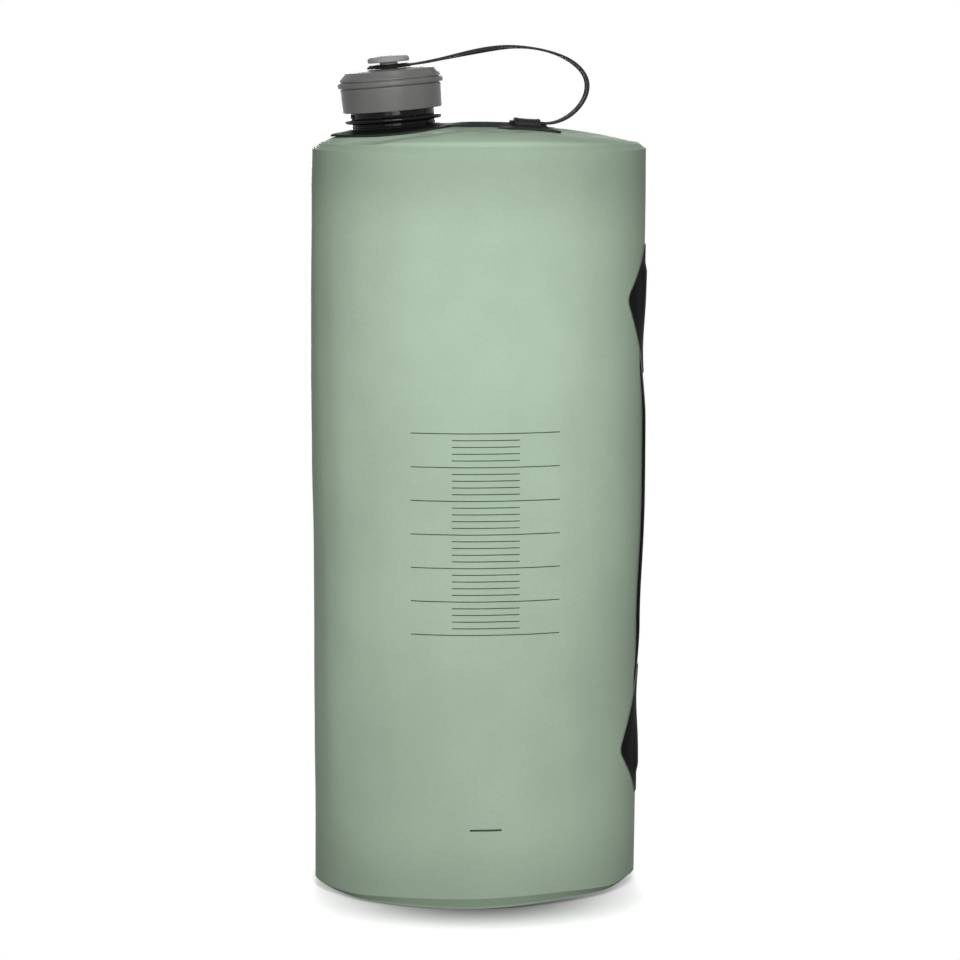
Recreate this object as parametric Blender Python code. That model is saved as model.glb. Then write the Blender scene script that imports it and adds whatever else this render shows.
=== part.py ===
"""Collapsible water carrier: an oval film bladder with a side strap and a tethered screw cap.

Metres, +Z up.  The origin is the centre of the flat underside.  The oval's long side runs
along X, the strap is on +X, and the spout leans towards -X.
"""
import math

import bmesh
import bpy
from mathutils import Matrix, Vector
from mathutils.geometry import delaunay_2d_cdt

# Film and fits
FILM = 0.0008
WELD_GAP = 0.0003
RUNNING_GAP = 0.0003

# Bladder: an oval tube that is a little narrower at the foot and leans to its strap
RIM_HEIGHT = 0.3376
RIM_WIDTH = 0.150
RIM_DEPTH = 0.112
FOOT_WIDTH = 0.1474
FOOT_DEPTH = 0.1101
RIM_LEAN = 0.0019
FOOT_BAND_HEIGHT = 0.0050
FOOT_BAND_DRAW = 0.0013
RIM_BAND_RISE_END = 0.0026
RIM_BAND_DRAW_END = 0.0034
RIM_BAND_RISE_SIDE = 0.0041
RIM_BAND_DRAW_SIDE = 0.0017

# Base: a shallow tray whose turned-up edge is welded inside the foot band
FLOOR_CORNER = 0.0006

# Top: a domed panel whose edge is welded under the rim band
DOME_RISE = 0.0107
LAP_START_SHARE = 0.2

# Spout: stands in a hole of the dome, on a flange that is welded below the film
NECK_INSET = 0.0368
NECK_LEAN = math.radians(4.7)
NECK_HEIGHT = 0.0236
NECK_RADIUS = 0.01875
NECK_BORE = 0.0165
NECK_LIP = 0.0006
FLANGE_RADIUS = 0.0215
FLANGE_THICKNESS = 0.0014
FLANGE_FILLET = 0.0012
COLLAR_RADIUS = 0.02195
COLLAR_THICKNESS = 0.0022
COLLAR_HEIGHT = 0.0058
COLLAR_ROUND = 0.0005
SEAT_RADIUS = 0.0212
SEAT_BLEND = 0.0120
SEAT_DROP = 0.0005

# Top patch: one black film cut as a ring, an arm and a four-toed foot
RING_RADIUS = 0.0275
RING_TIP = 0.0300
RING_TIP_SPREAD = math.radians(24)
ARM_HALF_WIDTH = 0.0105
ARM_NOTCH_LENGTH = 0.0060
ANCHOR_OFFSET = 0.0214
TOE_REACH = 0.0127
TOE_SPREAD = 0.0210
TOE_HALF_WIDTH = 0.0014
TOE_WAIST_SPREAD = 0.0165
TOE_WAIST_REACH = 0.0088
TOE_WAIST_HALF = 0.0114
TOE_WAIST_ROUND = 0.0180

# Leash anchor: a belt loop that arches over the strap
ANCHOR_LENGTH = 0.0117
ANCHOR_FOOT_HALF = 0.0105
ANCHOR_CROWN_HALF = 0.0048
ANCHOR_SLOPE_HALF = 0.0074
ANCHOR_WALL = 0.0008
ANCHOR_FOOT_WALL = 0.0007

# Leash: a flat moulded strap from the loop round to a ring below the cap's button
LEASH_WIDTH = 0.0055
LEASH_THICKNESS = 0.0010
LEASH_STOP_WIDTH = 0.0084
LEASH_STOP_THICKNESS = 0.0016
LEASH_STOP_LENGTH = 0.0026
LEASH_EXIT = 0.0018
LEASH_BEND_OFFSET = 0.0485
LEASH_BEND_HEIGHT = 0.3655
LEASH_CREST_OFFSET = 0.0151
LEASH_CREST_HEIGHT = 0.3829
LEASH_EXIT_PULL = 0.0090
LEASH_BEND_PULL_BELOW = 0.0090
LEASH_BEND_PULL_ABOVE = 0.0100
LEASH_CREST_PULL_OUT = 0.0180
LEASH_CREST_PULL_IN = 0.0140
LEASH_RING_PULL = 0.0130
LEASH_TWIST = math.radians(20)
LEASH_RING_RADIUS = 0.0099
LEASH_RING_THICKNESS = 0.0017
LEASH_RING_ROUND = 0.0003

# Cap: a turned shell with a bead between two grooves, and a low dome
SKIRT_HEIGHT = 0.0107
SKIRT_BOTTOM = 0.0098
SKIRT_RADIUS_LOW = 0.02225
SKIRT_RADIUS_HIGH = 0.02265
SKIRT_EDGE = 0.0004
SKIRT_BORE = 0.0204
GROOVE_WIDTH = 0.00035
GROOVE_DEPTH = 0.0007
BEAD_RADIUS = 0.02375
BEAD_HEIGHT = 0.0025
BEAD_ROUND = 0.0009
DOME_RADIUS_LOW = 0.02285
DOME_RADIUS_HIGH = 0.02005
DOME_SIDE_HEIGHT = 0.00375
DOME_EDGE = 0.0006
DOME_CROWN = 0.0007
CAP_SEAT_RADIUS = 0.0106
CAP_TOP_WALL = 0.0022

# Button: a rounded head on a stem that snaps through the cap
BUTTON_RADIUS = 0.00945
BUTTON_HEIGHT = 0.0026
BUTTON_ROUND = 0.0010
BUTTON_CROWN = 0.0004
BUTTON_STANDOFF = 0.0028
STEM_RADIUS = 0.0040
SNAP_RADIUS = 0.0052
SNAP_HEIGHT = 0.0011

# Gasket: a flat ring between the neck's lip and the cap
GASKET_BORE = 0.0160
GASKET_RADIUS = 0.0198

# Handle: a flat strap whose ends lie in pockets of two kite-shaped patches
HANDLE_TOP = 0.2945
HANDLE_BOTTOM = 0.0433
KITE_LENGTH = 0.0580
KITE_TIP_DISTANCE = 0.0228
KITE_HALF_WIDTH = 0.0305
KITE_END_HALF_WIDTH = 0.0104
KITE_TIP_ROUND = 0.0020
STRAP_HALF_WIDTH = 0.0098
STRAP_THICKNESS = 0.0010
STRAP_TUCK = 0.0150
STRAP_BOW = 0.0012
STRAP_BOW_SHARE = 0.30
STRAP_LEAVE = 0.0200
POCKET_MARGIN = 0.0012
POCKET_SLOPE = 0.0050

# Facets
OVAL_SIDES = 72
TURNED_SIDES = 48
DOME_RINGS = 9
DOME_RING_POWER = 1.5
PATCH_SPACING = 0.0045
OUTLINE_STEP = 0.0030
RING_STEPS = 14
ARC_STEPS = 3
WRAP_STEPS = 16
STRAP_SPAN_STEPS = 26
STRAP_POCKET_STEPS = 6
STRAP_COLUMNS = 6
LEASH_STEPS = 12
ANCHOR_STEPS = 4
WALL_RINGS = 3
SMOOTH_ANGLE = math.radians(35)

# Values that follow from the sizes above
LAP = FILM + WELD_GAP
PATCH_LOW = WELD_GAP
PATCH_HIGH = PATCH_LOW + FILM
LEASH_LOW = PATCH_HIGH + RUNNING_GAP
LEASH_HIGH = LEASH_LOW + LEASH_THICKNESS
NECK_CENTRE = RIM_LEAN - RIM_WIDTH / 2 + NECK_INSET
ANCHOR_CENTRE = RIM_LEAN + ANCHOR_OFFSET
CAP_CROWN = (SKIRT_BOTTOM + SKIRT_HEIGHT + GROOVE_WIDTH + BEAD_HEIGHT + GROOVE_WIDTH
             + DOME_SIDE_HEIGHT + DOME_CROWN)
CAP_CEILING = CAP_CROWN - CAP_TOP_WALL
RING_LOW = CAP_CROWN + RUNNING_GAP


def clear_scene():
    """Remove every object of the open file."""
    for old in list(bpy.data.objects):
        bpy.data.objects.remove(old, do_unlink=True)


def make_material(name, color, roughness, metallic=0.0):
    """A Principled material."""
    material = bpy.data.materials.new(name)
    material.use_nodes = True
    shader = material.node_tree.nodes["Principled BSDF"]
    shader.inputs["Base Color"].default_value = (*color, 1.0)
    shader.inputs["Roughness"].default_value = roughness
    shader.inputs["Metallic"].default_value = metallic
    material.diffuse_color = (*color, 1.0)
    return material


def finish(name, bm, material, parent=None, origin=None):
    """Turn a bmesh into a smooth-shaded object, on a parent or about its own origin."""
    bmesh.ops.recalc_face_normals(bm, faces=bm.faces[:])
    if origin is not None:
        bmesh.ops.translate(bm, verts=bm.verts[:], vec=-origin)
    mesh = bpy.data.meshes.new(name)
    bm.to_mesh(mesh)
    bm.free()
    mesh.materials.append(material)
    mesh.shade_smooth()
    mesh.set_sharp_from_angle(angle=SMOOTH_ANGLE)
    obj = bpy.data.objects.new(name, mesh)
    bpy.context.scene.collection.objects.link(obj)
    obj.parent = parent
    if origin is not None:
        obj.location = origin
    return obj


def make_empty(name, location, rotation=None, parent=None):
    """An empty that carries the pieces of one moving group."""
    empty = bpy.data.objects.new(name, None)
    empty.location = location
    if rotation is not None:
        empty.rotation_euler = rotation
    empty.parent = parent
    bpy.context.scene.collection.objects.link(empty)
    return empty


def smooth_step(value):
    """Ease from 0 to 1."""
    value = min(max(value, 0.0), 1.0)
    return value * value * (3 - 2 * value)


# Surfaces that the pieces share

def oval_axes(height):
    """Half width, half depth and centre of the bladder at a height."""
    share = height / RIM_HEIGHT
    half_width = (FOOT_WIDTH + (RIM_WIDTH - FOOT_WIDTH) * share) / 2
    half_depth = (FOOT_DEPTH + (RIM_DEPTH - FOOT_DEPTH) * share) / 2
    return half_width, half_depth, RIM_LEAN * share


def oval_point(angle, inset, height):
    """Point of the bladder's outline, drawn in by an inset."""
    half_width, half_depth, centre = oval_axes(min(height, RIM_HEIGHT))
    return Vector((centre + (half_width - inset) * math.cos(angle),
                   (half_depth - inset) * math.sin(angle), height))


def around(place):
    """One point for each side of the oval."""
    return [place(2 * math.pi * k / OVAL_SIDES) for k in range(OVAL_SIDES)]


def oval_ring(height, inset):
    """The bladder's outline, drawn in by an inset."""
    return around(lambda angle: oval_point(angle, inset, height))


def band_at(angle):
    """Rise, draw and slope of the rim band, which is steeper at the front and the back."""
    share = math.sin(angle) ** 2
    rise = RIM_BAND_RISE_END + (RIM_BAND_RISE_SIDE - RIM_BAND_RISE_END) * share
    draw = RIM_BAND_DRAW_END + (RIM_BAND_DRAW_SIDE - RIM_BAND_DRAW_END) * share
    return rise, draw, math.atan2(rise, draw)


def band_point(angle, share, depth):
    """Point a share of the way up the rim band, at a depth below its outer face."""
    rise, draw, slope = band_at(angle)
    inset = draw * share + depth * math.sin(slope)
    height = RIM_HEIGHT + rise * share - depth * math.cos(slope)
    return oval_point(angle, inset, height)


def seat_height():
    """Height at which the neck's axis passes through the film."""
    return dome_only(NECK_CENTRE, 0.0) - SEAT_DROP


def neck_plane(x):
    """Height of the flat seat round the neck."""
    return seat_height() + (x - NECK_CENTRE) * math.tan(NECK_LEAN)


def dome_only(x, y):
    """Height of the dome before the neck flattens it."""
    end = band_point(0.0, 1, LAP)
    side = band_point(math.pi / 2, 1, LAP)
    across = (x - RIM_LEAN) / (end.x - RIM_LEAN)
    through = y / side.y
    crown = RIM_HEIGHT + DOME_RISE
    return crown - (crown - end.z) * across ** 2 - (crown - side.z) * through ** 2


def dome_height(x, y):
    """Height of the top film: a dome with a flat seat round the neck."""
    reach = math.hypot(x - NECK_CENTRE, y)
    blend = smooth_step((reach - SEAT_RADIUS) / SEAT_BLEND)
    return neck_plane(x) * (1 - blend) + dome_only(x, y) * blend


def on_dome(x, y, out):
    """Point a little above the top film."""
    return Vector((x, y, dome_height(x, y) + out))


def end_angle(distance, height):
    """Angle on the oval that lies a distance along the film from its +X end."""
    half_width, half_depth, _ = oval_axes(height)
    angle = 0.0
    for _ in range(WRAP_STEPS):
        speed = math.hypot(half_width * math.sin(angle), half_depth * math.cos(angle))
        angle += distance / WRAP_STEPS / speed
    return angle


def on_wall(distance, height, out):
    """Point outside the wall film, by its distance along the film from the +X end."""
    half_width, half_depth, centre = oval_axes(height)
    angle = end_angle(distance, height)
    foot = Vector((centre + half_width * math.cos(angle), half_depth * math.sin(angle), height))
    normal = Vector((half_depth * math.cos(angle), half_width * math.sin(angle), 0.0)).normalized()
    return foot + normal * out


# Building blocks

def skin(bm, rings, closed):
    """Join rings of points with quads, and return the rings' vertices."""
    rows = [[bm.verts.new(point) for point in ring] for ring in rings]
    pairs = list(zip(rows, rows[1:]))
    if closed:
        pairs.append((rows[-1], rows[0]))
    for row, after in pairs:
        count = len(row)
        for k in range(count):
            bm.faces.new((row[k], row[(k + 1) % count], after[(k + 1) % count], after[k]))
    return rows


def cap_strip(bm, row):
    """Close the end of a flat section, whose two long sides mirror each other."""
    last = len(row) - 1
    for k in range(len(row) // 2 - 1):
        bm.faces.new((row[k], row[k + 1], row[last - k - 1], row[last - k]))


def turned(name, profile, material, parent, hollow):
    """Spin a profile of (radius, height) points about the parent's Z axis."""
    bm = bmesh.new()
    points = [bm.verts.new((radius, 0.0, height)) for radius, height in profile]
    for start, end in zip(points, points[1:]):
        bm.edges.new((start, end))
    if hollow:
        bm.edges.new((points[-1], points[0]))
    bmesh.ops.spin(bm, geom=bm.verts[:] + bm.edges[:], cent=(0, 0, 0), axis=(0, 0, 1),
                   angle=2 * math.pi, steps=TURNED_SIDES, use_merge=True)
    bmesh.ops.remove_doubles(bm, verts=bm.verts[:], dist=WELD_GAP / 100)
    return finish(name, bm, material, parent)


def round_corner(before, corner, after, radius):
    """Points of a rounded corner between two straight sides."""
    back = (before - corner).normalized()
    ahead = (after - corner).normalized()
    reach = radius / math.tan(back.angle(ahead) / 2)
    start = corner + back * reach
    end = corner + ahead * reach
    points = []
    for k in range(ARC_STEPS + 1):
        t = k / ARC_STEPS
        points.append(start * (1 - t) ** 2 + corner * 2 * t * (1 - t) + end * t ** 2)
    return points


def rounded_outline(corners):
    """Outline through (x, y, radius) corners, with a radius of zero left sharp."""
    points = []
    count = len(corners)
    for k, (x, y, radius) in enumerate(corners):
        corner = Vector((x, y))
        if radius == 0:
            points.append(corner)
            continue
        before = Vector(corners[k - 1][:2])
        after = Vector(corners[(k + 1) % count][:2])
        points.extend(round_corner(before, corner, after, radius))
    return points


def split_long(points):
    """Add points along an outline's long sides."""
    result = []
    for start, end in zip(points, points[1:] + points[:1]):
        pieces = max(1, math.ceil((end - start).length / OUTLINE_STEP))
        result.extend(start.lerp(end, k / pieces) for k in range(pieces))
    return result


def inside(point, loops):
    """Even-odd test of a flat point."""
    found = False
    for loop in loops:
        for start, end in zip(loop, loop[1:] + loop[:1]):
            if (start.y > point.y) != (end.y > point.y):
                cross = start.x + (point.y - start.y) * (end.x - start.x) / (end.y - start.y)
                if point.x < cross:
                    found = not found
    return found


def clear_of(point, loops, distance):
    """Whether a flat point keeps its distance from every outline point."""
    return all((point - other).length > distance for loop in loops for other in loop)


def film_sheet(bm, loops, spacing, low, high):
    """Cut film to flat outlines and lay it between two surfaces.

    low(u, v) and high(u, v) give the sheet's two faces.
    """
    points = [point for loop in loops for point in loop]
    edges = []
    first = 0
    for loop in loops:
        count = len(loop)
        edges.extend((first + k, first + (k + 1) % count) for k in range(count))
        first += count
    columns = range(math.floor(min(point.x for point in points) / spacing),
                    math.ceil(max(point.x for point in points) / spacing))
    rows = range(math.floor(min(point.y for point in points) / spacing),
                 math.ceil(max(point.y for point in points) / spacing))
    for i in columns:
        for j in rows:
            point = Vector((i * spacing, j * spacing))
            if inside(point, loops) and clear_of(point, loops, spacing / 4):
                points.append(point)
    flat, _, faces, *_ = delaunay_2d_cdt(points, edges, [], 1, WELD_GAP / 1000)
    lower = [bm.verts.new(low(p.x, p.y)) for p in flat]
    upper = [bm.verts.new(high(p.x, p.y)) for p in flat]
    open_edges = {}
    for face in faces:
        centre = sum((flat[k] for k in face), Vector((0.0, 0.0))) / len(face)
        if not inside(centre, loops):
            continue
        bm.faces.new([upper[k] for k in face])
        bm.faces.new([lower[k] for k in reversed(face)])
        for start, end in zip(face, list(face[1:]) + [face[0]]):
            if open_edges.pop((end, start), None) is None:
                open_edges[(start, end)] = True
    for start, end in open_edges:
        bm.faces.new((upper[end], upper[start], lower[start], lower[end]))
    loose = [vert for vert in bm.verts if not vert.link_faces]
    bmesh.ops.delete(bm, geom=loose, context="VERTS")


# Bladder

def build_base_panel(material):
    """Floor film with an edge turned up inside the foot band."""
    outer = [(0.0, FOOT_BAND_DRAW + LAP + FLOOR_CORNER),
             (FLOOR_CORNER, FOOT_BAND_DRAW + LAP),
             (FOOT_BAND_HEIGHT, LAP)]
    inner = [(FOOT_BAND_HEIGHT, LAP + FILM),
             (FILM + FLOOR_CORNER, FOOT_BAND_DRAW + LAP + FILM),
             (FILM, FOOT_BAND_DRAW + LAP + FILM + FLOOR_CORNER)]
    bm = bmesh.new()
    rows = skin(bm, [oval_ring(height, inset) for height, inset in outer + inner], False)
    bm.faces.new(rows[0])
    bm.faces.new(rows[-1])
    return finish("base_panel", bm, material)


def build_bladder_wall(material):
    """Film tube with a foot band that turns in and a rim band that closes over the top."""
    def inner_corner(angle):
        slope = band_at(angle)[2]
        drop = FILM * math.tan((math.pi / 2 - slope) / 2)
        return oval_point(angle, FILM, RIM_HEIGHT - drop)

    tall = RIM_HEIGHT - FOOT_BAND_HEIGHT
    steps = [FOOT_BAND_HEIGHT + tall * k / WALL_RINGS for k in range(WALL_RINGS)]
    rings = [oval_ring(WELD_GAP, FOOT_BAND_DRAW)]
    rings += [oval_ring(height, 0.0) for height in steps + [RIM_HEIGHT]]
    rings += [around(lambda angle, depth=depth: band_point(angle, 1, depth)) for depth in (0.0, FILM)]
    rings.append(around(inner_corner))
    rings += [oval_ring(height, FILM) for height in reversed(steps)]
    rings.append(oval_ring(WELD_GAP, FOOT_BAND_DRAW + FILM))
    bm = bmesh.new()
    skin(bm, rings, True)
    return finish("bladder_wall", bm, material)


def build_top_panel(material, group):
    """Domed film with a hole for the neck and an edge that laps under the rim band."""
    edge_ring = around(lambda angle: band_point(angle, 1, LAP))
    hole = NECK_RADIUS + RUNNING_GAP
    upper = [around(lambda angle: band_point(angle, LAP_START_SHARE, LAP)), edge_ring]
    under = [around(lambda angle: band_point(angle, LAP_START_SHARE, LAP + FILM)),
             around(lambda angle: band_point(angle, 1, LAP + FILM))]
    down = Vector((0.0, 0.0, -FILM))
    for j in range(1, DOME_RINGS + 1):
        share = 1 - (1 - j / DOME_RINGS) ** DOME_RING_POWER
        ring = []
        for point in edge_ring:
            way = Vector((point.x - NECK_CENTRE, point.y, 0.0))
            start = Vector((NECK_CENTRE, 0.0, 0.0)) + way.normalized() * hole
            spot = point.lerp(start, share)
            ring.append(Vector((spot.x, spot.y, dome_height(spot.x, spot.y))))
        upper.append(ring)
        under.append([point + down for point in ring])
    bm = bmesh.new()
    skin(bm, upper + under[::-1], True)
    return finish("top_panel", bm, material, origin=group)


# Spout and top patch

def build_neck(material, parent):
    """Moulded spout: flange below the film, plain tube, collar and a rounded lip."""
    flange_high = -FILM - WELD_GAP
    flange_low = flange_high - FLANGE_THICKNESS
    collar_low = COLLAR_HEIGHT - COLLAR_THICKNESS / 2
    collar_high = COLLAR_HEIGHT + COLLAR_THICKNESS / 2
    profile = [
        (NECK_BORE, flange_low),
        (FLANGE_RADIUS, flange_low),
        (FLANGE_RADIUS, flange_high - FLANGE_THICKNESS / 2),
        (FLANGE_RADIUS - FLANGE_FILLET, flange_high),
        (NECK_RADIUS, flange_high),
        (NECK_RADIUS, collar_low),
        (COLLAR_RADIUS - COLLAR_ROUND, collar_low),
        (COLLAR_RADIUS, collar_low + COLLAR_ROUND),
        (COLLAR_RADIUS, collar_high - COLLAR_ROUND),
        (COLLAR_RADIUS - COLLAR_ROUND, collar_high),
        (NECK_RADIUS, collar_high),
        (NECK_RADIUS, NECK_HEIGHT - NECK_LIP),
        (NECK_RADIUS - NECK_LIP, NECK_HEIGHT),
        (NECK_BORE + NECK_LIP, NECK_HEIGHT),
        (NECK_BORE, NECK_HEIGHT - NECK_LIP),
    ]
    return turned("neck", profile, material, parent, hollow=True)


def ring_outline():
    """Upper half of the patch's outline from the arm round the ring to its tip."""
    meet = math.asin(ARM_HALF_WIDTH / RING_RADIUS)
    points = []
    last = math.pi - RING_TIP_SPREAD
    for k in range(RING_STEPS + 1):
        angle = meet + (last - meet) * k / RING_STEPS
        points.append((NECK_CENTRE + RING_RADIUS * math.cos(angle), RING_RADIUS * math.sin(angle), 0.0))
    return points


def build_top_patch(material, group):
    """Black film: ring round the neck, arm along the dome and foot of the leash anchor."""
    ring = ring_outline()
    tip = (NECK_CENTRE - RING_TIP, 0.0, 0.0)
    lower = [(x, -y, radius) for x, y, radius in reversed(ring)]
    toe_left = ANCHOR_CENTRE - TOE_REACH
    toe_right = ANCHOR_CENTRE + TOE_REACH
    foot = []
    for side in (-1, 1):
        toes = [
            (ANCHOR_CENTRE - TOE_WAIST_REACH - ARM_NOTCH_LENGTH, side * ARM_HALF_WIDTH, 0.0),
            (ANCHOR_CENTRE - TOE_WAIST_REACH, side * TOE_WAIST_HALF, 0.0),
            (toe_left - TOE_HALF_WIDTH, side * (TOE_SPREAD - TOE_HALF_WIDTH), 0.0),
            (toe_left, side * TOE_SPREAD, 0.0),
            (ANCHOR_CENTRE, side * TOE_WAIST_SPREAD, TOE_WAIST_ROUND),
            (toe_right, side * TOE_SPREAD, 0.0),
            (toe_right + TOE_HALF_WIDTH, side * (TOE_SPREAD - TOE_HALF_WIDTH), 0.0),
            (ANCHOR_CENTRE + TOE_WAIST_REACH, side * TOE_WAIST_REACH, 0.0),
        ]
        foot.append(toes)
    front, back = foot
    corners = lower + front + list(reversed(back)) + ring + [tip]
    outline = split_long(rounded_outline(corners))
    hole = []
    for k in range(TURNED_SIDES // 2):
        angle = 4 * math.pi * k / TURNED_SIDES
        reach = NECK_RADIUS + 2 * RUNNING_GAP
        hole.append(Vector((NECK_CENTRE + reach * math.cos(angle), reach * math.sin(angle))))
    bm = bmesh.new()
    film_sheet(bm, [outline, hole], PATCH_SPACING,
               lambda x, y: on_dome(x, y, PATCH_LOW), lambda x, y: on_dome(x, y, PATCH_HIGH))
    return finish("top_patch", bm, material, origin=group)


def build_leash_anchor(material, group):
    """Belt loop over the end of the leash, lofted along X on the patch."""
    foot_low = PATCH_HIGH + WELD_GAP
    foot_high = foot_low + ANCHOR_FOOT_WALL
    ceiling = LEASH_HIGH + RUNNING_GAP
    crown = ceiling + ANCHOR_WALL
    tunnel = LEASH_WIDTH / 2 + 2 * RUNNING_GAP
    half = [(ANCHOR_FOOT_HALF, foot_low), (ANCHOR_FOOT_HALF, foot_high),
            (ANCHOR_SLOPE_HALF, foot_high), (ANCHOR_CROWN_HALF, crown)]
    section = half + [(-y, out) for y, out in reversed(half)]
    section += [(-tunnel, foot_low), (-tunnel, ceiling), (tunnel, ceiling), (tunnel, foot_low)]
    bm = bmesh.new()
    rings = []
    for k in range(ANCHOR_STEPS + 1):
        x = ANCHOR_CENTRE + ANCHOR_LENGTH * (k / ANCHOR_STEPS - 1 / 2)
        rings.append([on_dome(x, y, out) for y, out in section])
    rows = skin(bm, rings, False)
    for row in (rows[0], rows[-1]):
        bm.faces.new(row)
    return finish("leash_anchor", bm, material, origin=group)


# Leash

def bezier(start, pull_start, pull_end, end, t):
    """Point of a cubic curve."""
    s = 1 - t
    return start * s ** 3 + pull_start * 3 * s * s * t + pull_end * 3 * s * t * t + end * t ** 3


def leash_route(axis_point, axis):
    """Centre line of the free strap, from the anchor round to the ring."""
    exit_x = ANCHOR_CENTRE + ANCHOR_LENGTH / 2 + LEASH_EXIT
    middle = (LEASH_LOW + LEASH_HIGH) / 2
    start = on_dome(exit_x, 0.0, middle)
    ahead = on_dome(exit_x + LEASH_EXIT, 0.0, middle) - start
    bend = Vector((RIM_LEAN + LEASH_BEND_OFFSET, 0.0, LEASH_BEND_HEIGHT))
    crest = Vector((RIM_LEAN + LEASH_CREST_OFFSET, 0.0, LEASH_CREST_HEIGHT))
    outward = Vector((axis.z, 0.0, -axis.x))
    ring_side = LEASH_RING_RADIUS + RUNNING_GAP
    end = axis_point + axis * (RING_LOW + LEASH_RING_THICKNESS / 2) + outward * ring_side
    up = Vector((0.0, 0.0, 1.0))
    right = Vector((1.0, 0.0, 0.0))
    spans = [
        (start, start + ahead.normalized() * LEASH_EXIT_PULL,
         bend - up * LEASH_BEND_PULL_BELOW, bend),
        (bend, bend + up * LEASH_BEND_PULL_ABOVE, crest + right * LEASH_CREST_PULL_OUT, crest),
        (crest, crest - right * LEASH_CREST_PULL_IN, end + outward * LEASH_RING_PULL, end),
    ]
    points = [start]
    for span in spans:
        points.extend(bezier(*span, k / LEASH_STEPS) for k in range(1, LEASH_STEPS + 1))
    return points


def strap_section(centre, along, twist, width, thickness):
    """Four corners of the flat strap across its run."""
    flat = Vector((0.0, 1.0, 0.0))
    face = along.cross(flat).normalized()
    turn = Matrix.Rotation(twist, 3, along)
    side = turn @ flat * (width / 2)
    out = turn @ face * (thickness / 2)
    return [centre + side + out, centre - side + out, centre - side - out, centre + side - out]


def build_leash_strap(material, axis_point, axis, group):
    """Strap with a stop on its end, which the anchor's loop holds."""
    route = leash_route(axis_point, axis)
    middle = (LEASH_LOW + LEASH_HIGH) / 2
    stop_low = PATCH_HIGH + RUNNING_GAP
    stop_middle = stop_low + LEASH_STOP_THICKNESS / 2
    loop_left = ANCHOR_CENTRE - ANCHOR_LENGTH / 2 - RUNNING_GAP
    stop_left = loop_left - LEASH_STOP_LENGTH
    lead = []
    for x in (stop_left, loop_left):
        lead.append((on_dome(x, 0.0, stop_middle), LEASH_STOP_WIDTH, LEASH_STOP_THICKNESS))
    for k in range(ANCHOR_STEPS):
        x = loop_left + (route[0].x - loop_left) * k / ANCHOR_STEPS
        lead.append((on_dome(x, 0.0, middle), LEASH_WIDTH, LEASH_THICKNESS))
    count = len(route)
    bm = bmesh.new()
    rings = []
    for centre, width, thickness in lead:
        along = on_dome(centre.x + LEASH_EXIT, 0.0, 0.0) - on_dome(centre.x, 0.0, 0.0)
        rings.append(strap_section(centre, along.normalized(), 0.0, width, thickness))
    for k, centre in enumerate(route):
        before = route[max(k - 1, 0)]
        after = route[min(k + 1, count - 1)]
        twist = LEASH_TWIST * math.sin(math.pi * k / (count - 1)) ** 2
        along = (after - before).normalized()
        rings.append(strap_section(centre, along, twist, LEASH_WIDTH, LEASH_THICKNESS))
    rows = skin(bm, rings, False)
    bm.faces.new(rows[0])
    bm.faces.new(rows[-1])
    return finish("leash_strap", bm, material, origin=group)


def build_leash_ring(material, parent):
    """Flat ring that turns freely on the button's stem."""
    high = RING_LOW + LEASH_RING_THICKNESS
    bore = STEM_RADIUS + 2 * RUNNING_GAP
    profile = [
        (bore, RING_LOW),
        (LEASH_RING_RADIUS - LEASH_RING_ROUND, RING_LOW),
        (LEASH_RING_RADIUS, RING_LOW + LEASH_RING_ROUND),
        (LEASH_RING_RADIUS, high - LEASH_RING_ROUND),
        (LEASH_RING_RADIUS - LEASH_RING_ROUND, high),
        (bore, high),
    ]
    return turned("leash_ring", profile, material, parent, hollow=True)


# Cap

def cap_profile():
    """Outside and inside of the cap shell, from the stem's hole round to the ceiling."""
    hole = STEM_RADIUS + RUNNING_GAP
    skirt_top = SKIRT_BOTTOM + SKIRT_HEIGHT
    bead_low = skirt_top + GROOVE_WIDTH
    bead_high = bead_low + BEAD_HEIGHT
    dome_low = bead_high + GROOVE_WIDTH
    dome_high = dome_low + DOME_SIDE_HEIGHT
    groove = SKIRT_RADIUS_HIGH - GROOVE_DEPTH
    return [
        (hole, CAP_CROWN),
        (CAP_SEAT_RADIUS, CAP_CROWN),
        (DOME_RADIUS_HIGH - DOME_EDGE, dome_high + DOME_EDGE / 4),
        (DOME_RADIUS_HIGH, dome_high - DOME_EDGE / 2),
        (DOME_RADIUS_LOW, dome_low + DOME_EDGE / 2),
        (DOME_RADIUS_LOW - DOME_EDGE / 2, dome_low),
        (groove, dome_low),
        (groove, bead_high),
        (BEAD_RADIUS - BEAD_ROUND, bead_high),
        (BEAD_RADIUS, bead_high - BEAD_ROUND),
        (BEAD_RADIUS, bead_low + BEAD_ROUND),
        (BEAD_RADIUS - BEAD_ROUND, bead_low),
        (groove, bead_low),
        (groove, skirt_top),
        (SKIRT_RADIUS_HIGH, skirt_top),
        (SKIRT_RADIUS_LOW, SKIRT_BOTTOM + SKIRT_EDGE),
        (SKIRT_RADIUS_LOW - SKIRT_EDGE, SKIRT_BOTTOM),
        (SKIRT_BORE + SKIRT_EDGE, SKIRT_BOTTOM),
        (SKIRT_BORE, SKIRT_BOTTOM + SKIRT_EDGE),
        (SKIRT_BORE, CAP_CEILING),
        (hole, CAP_CEILING),
    ]


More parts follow.
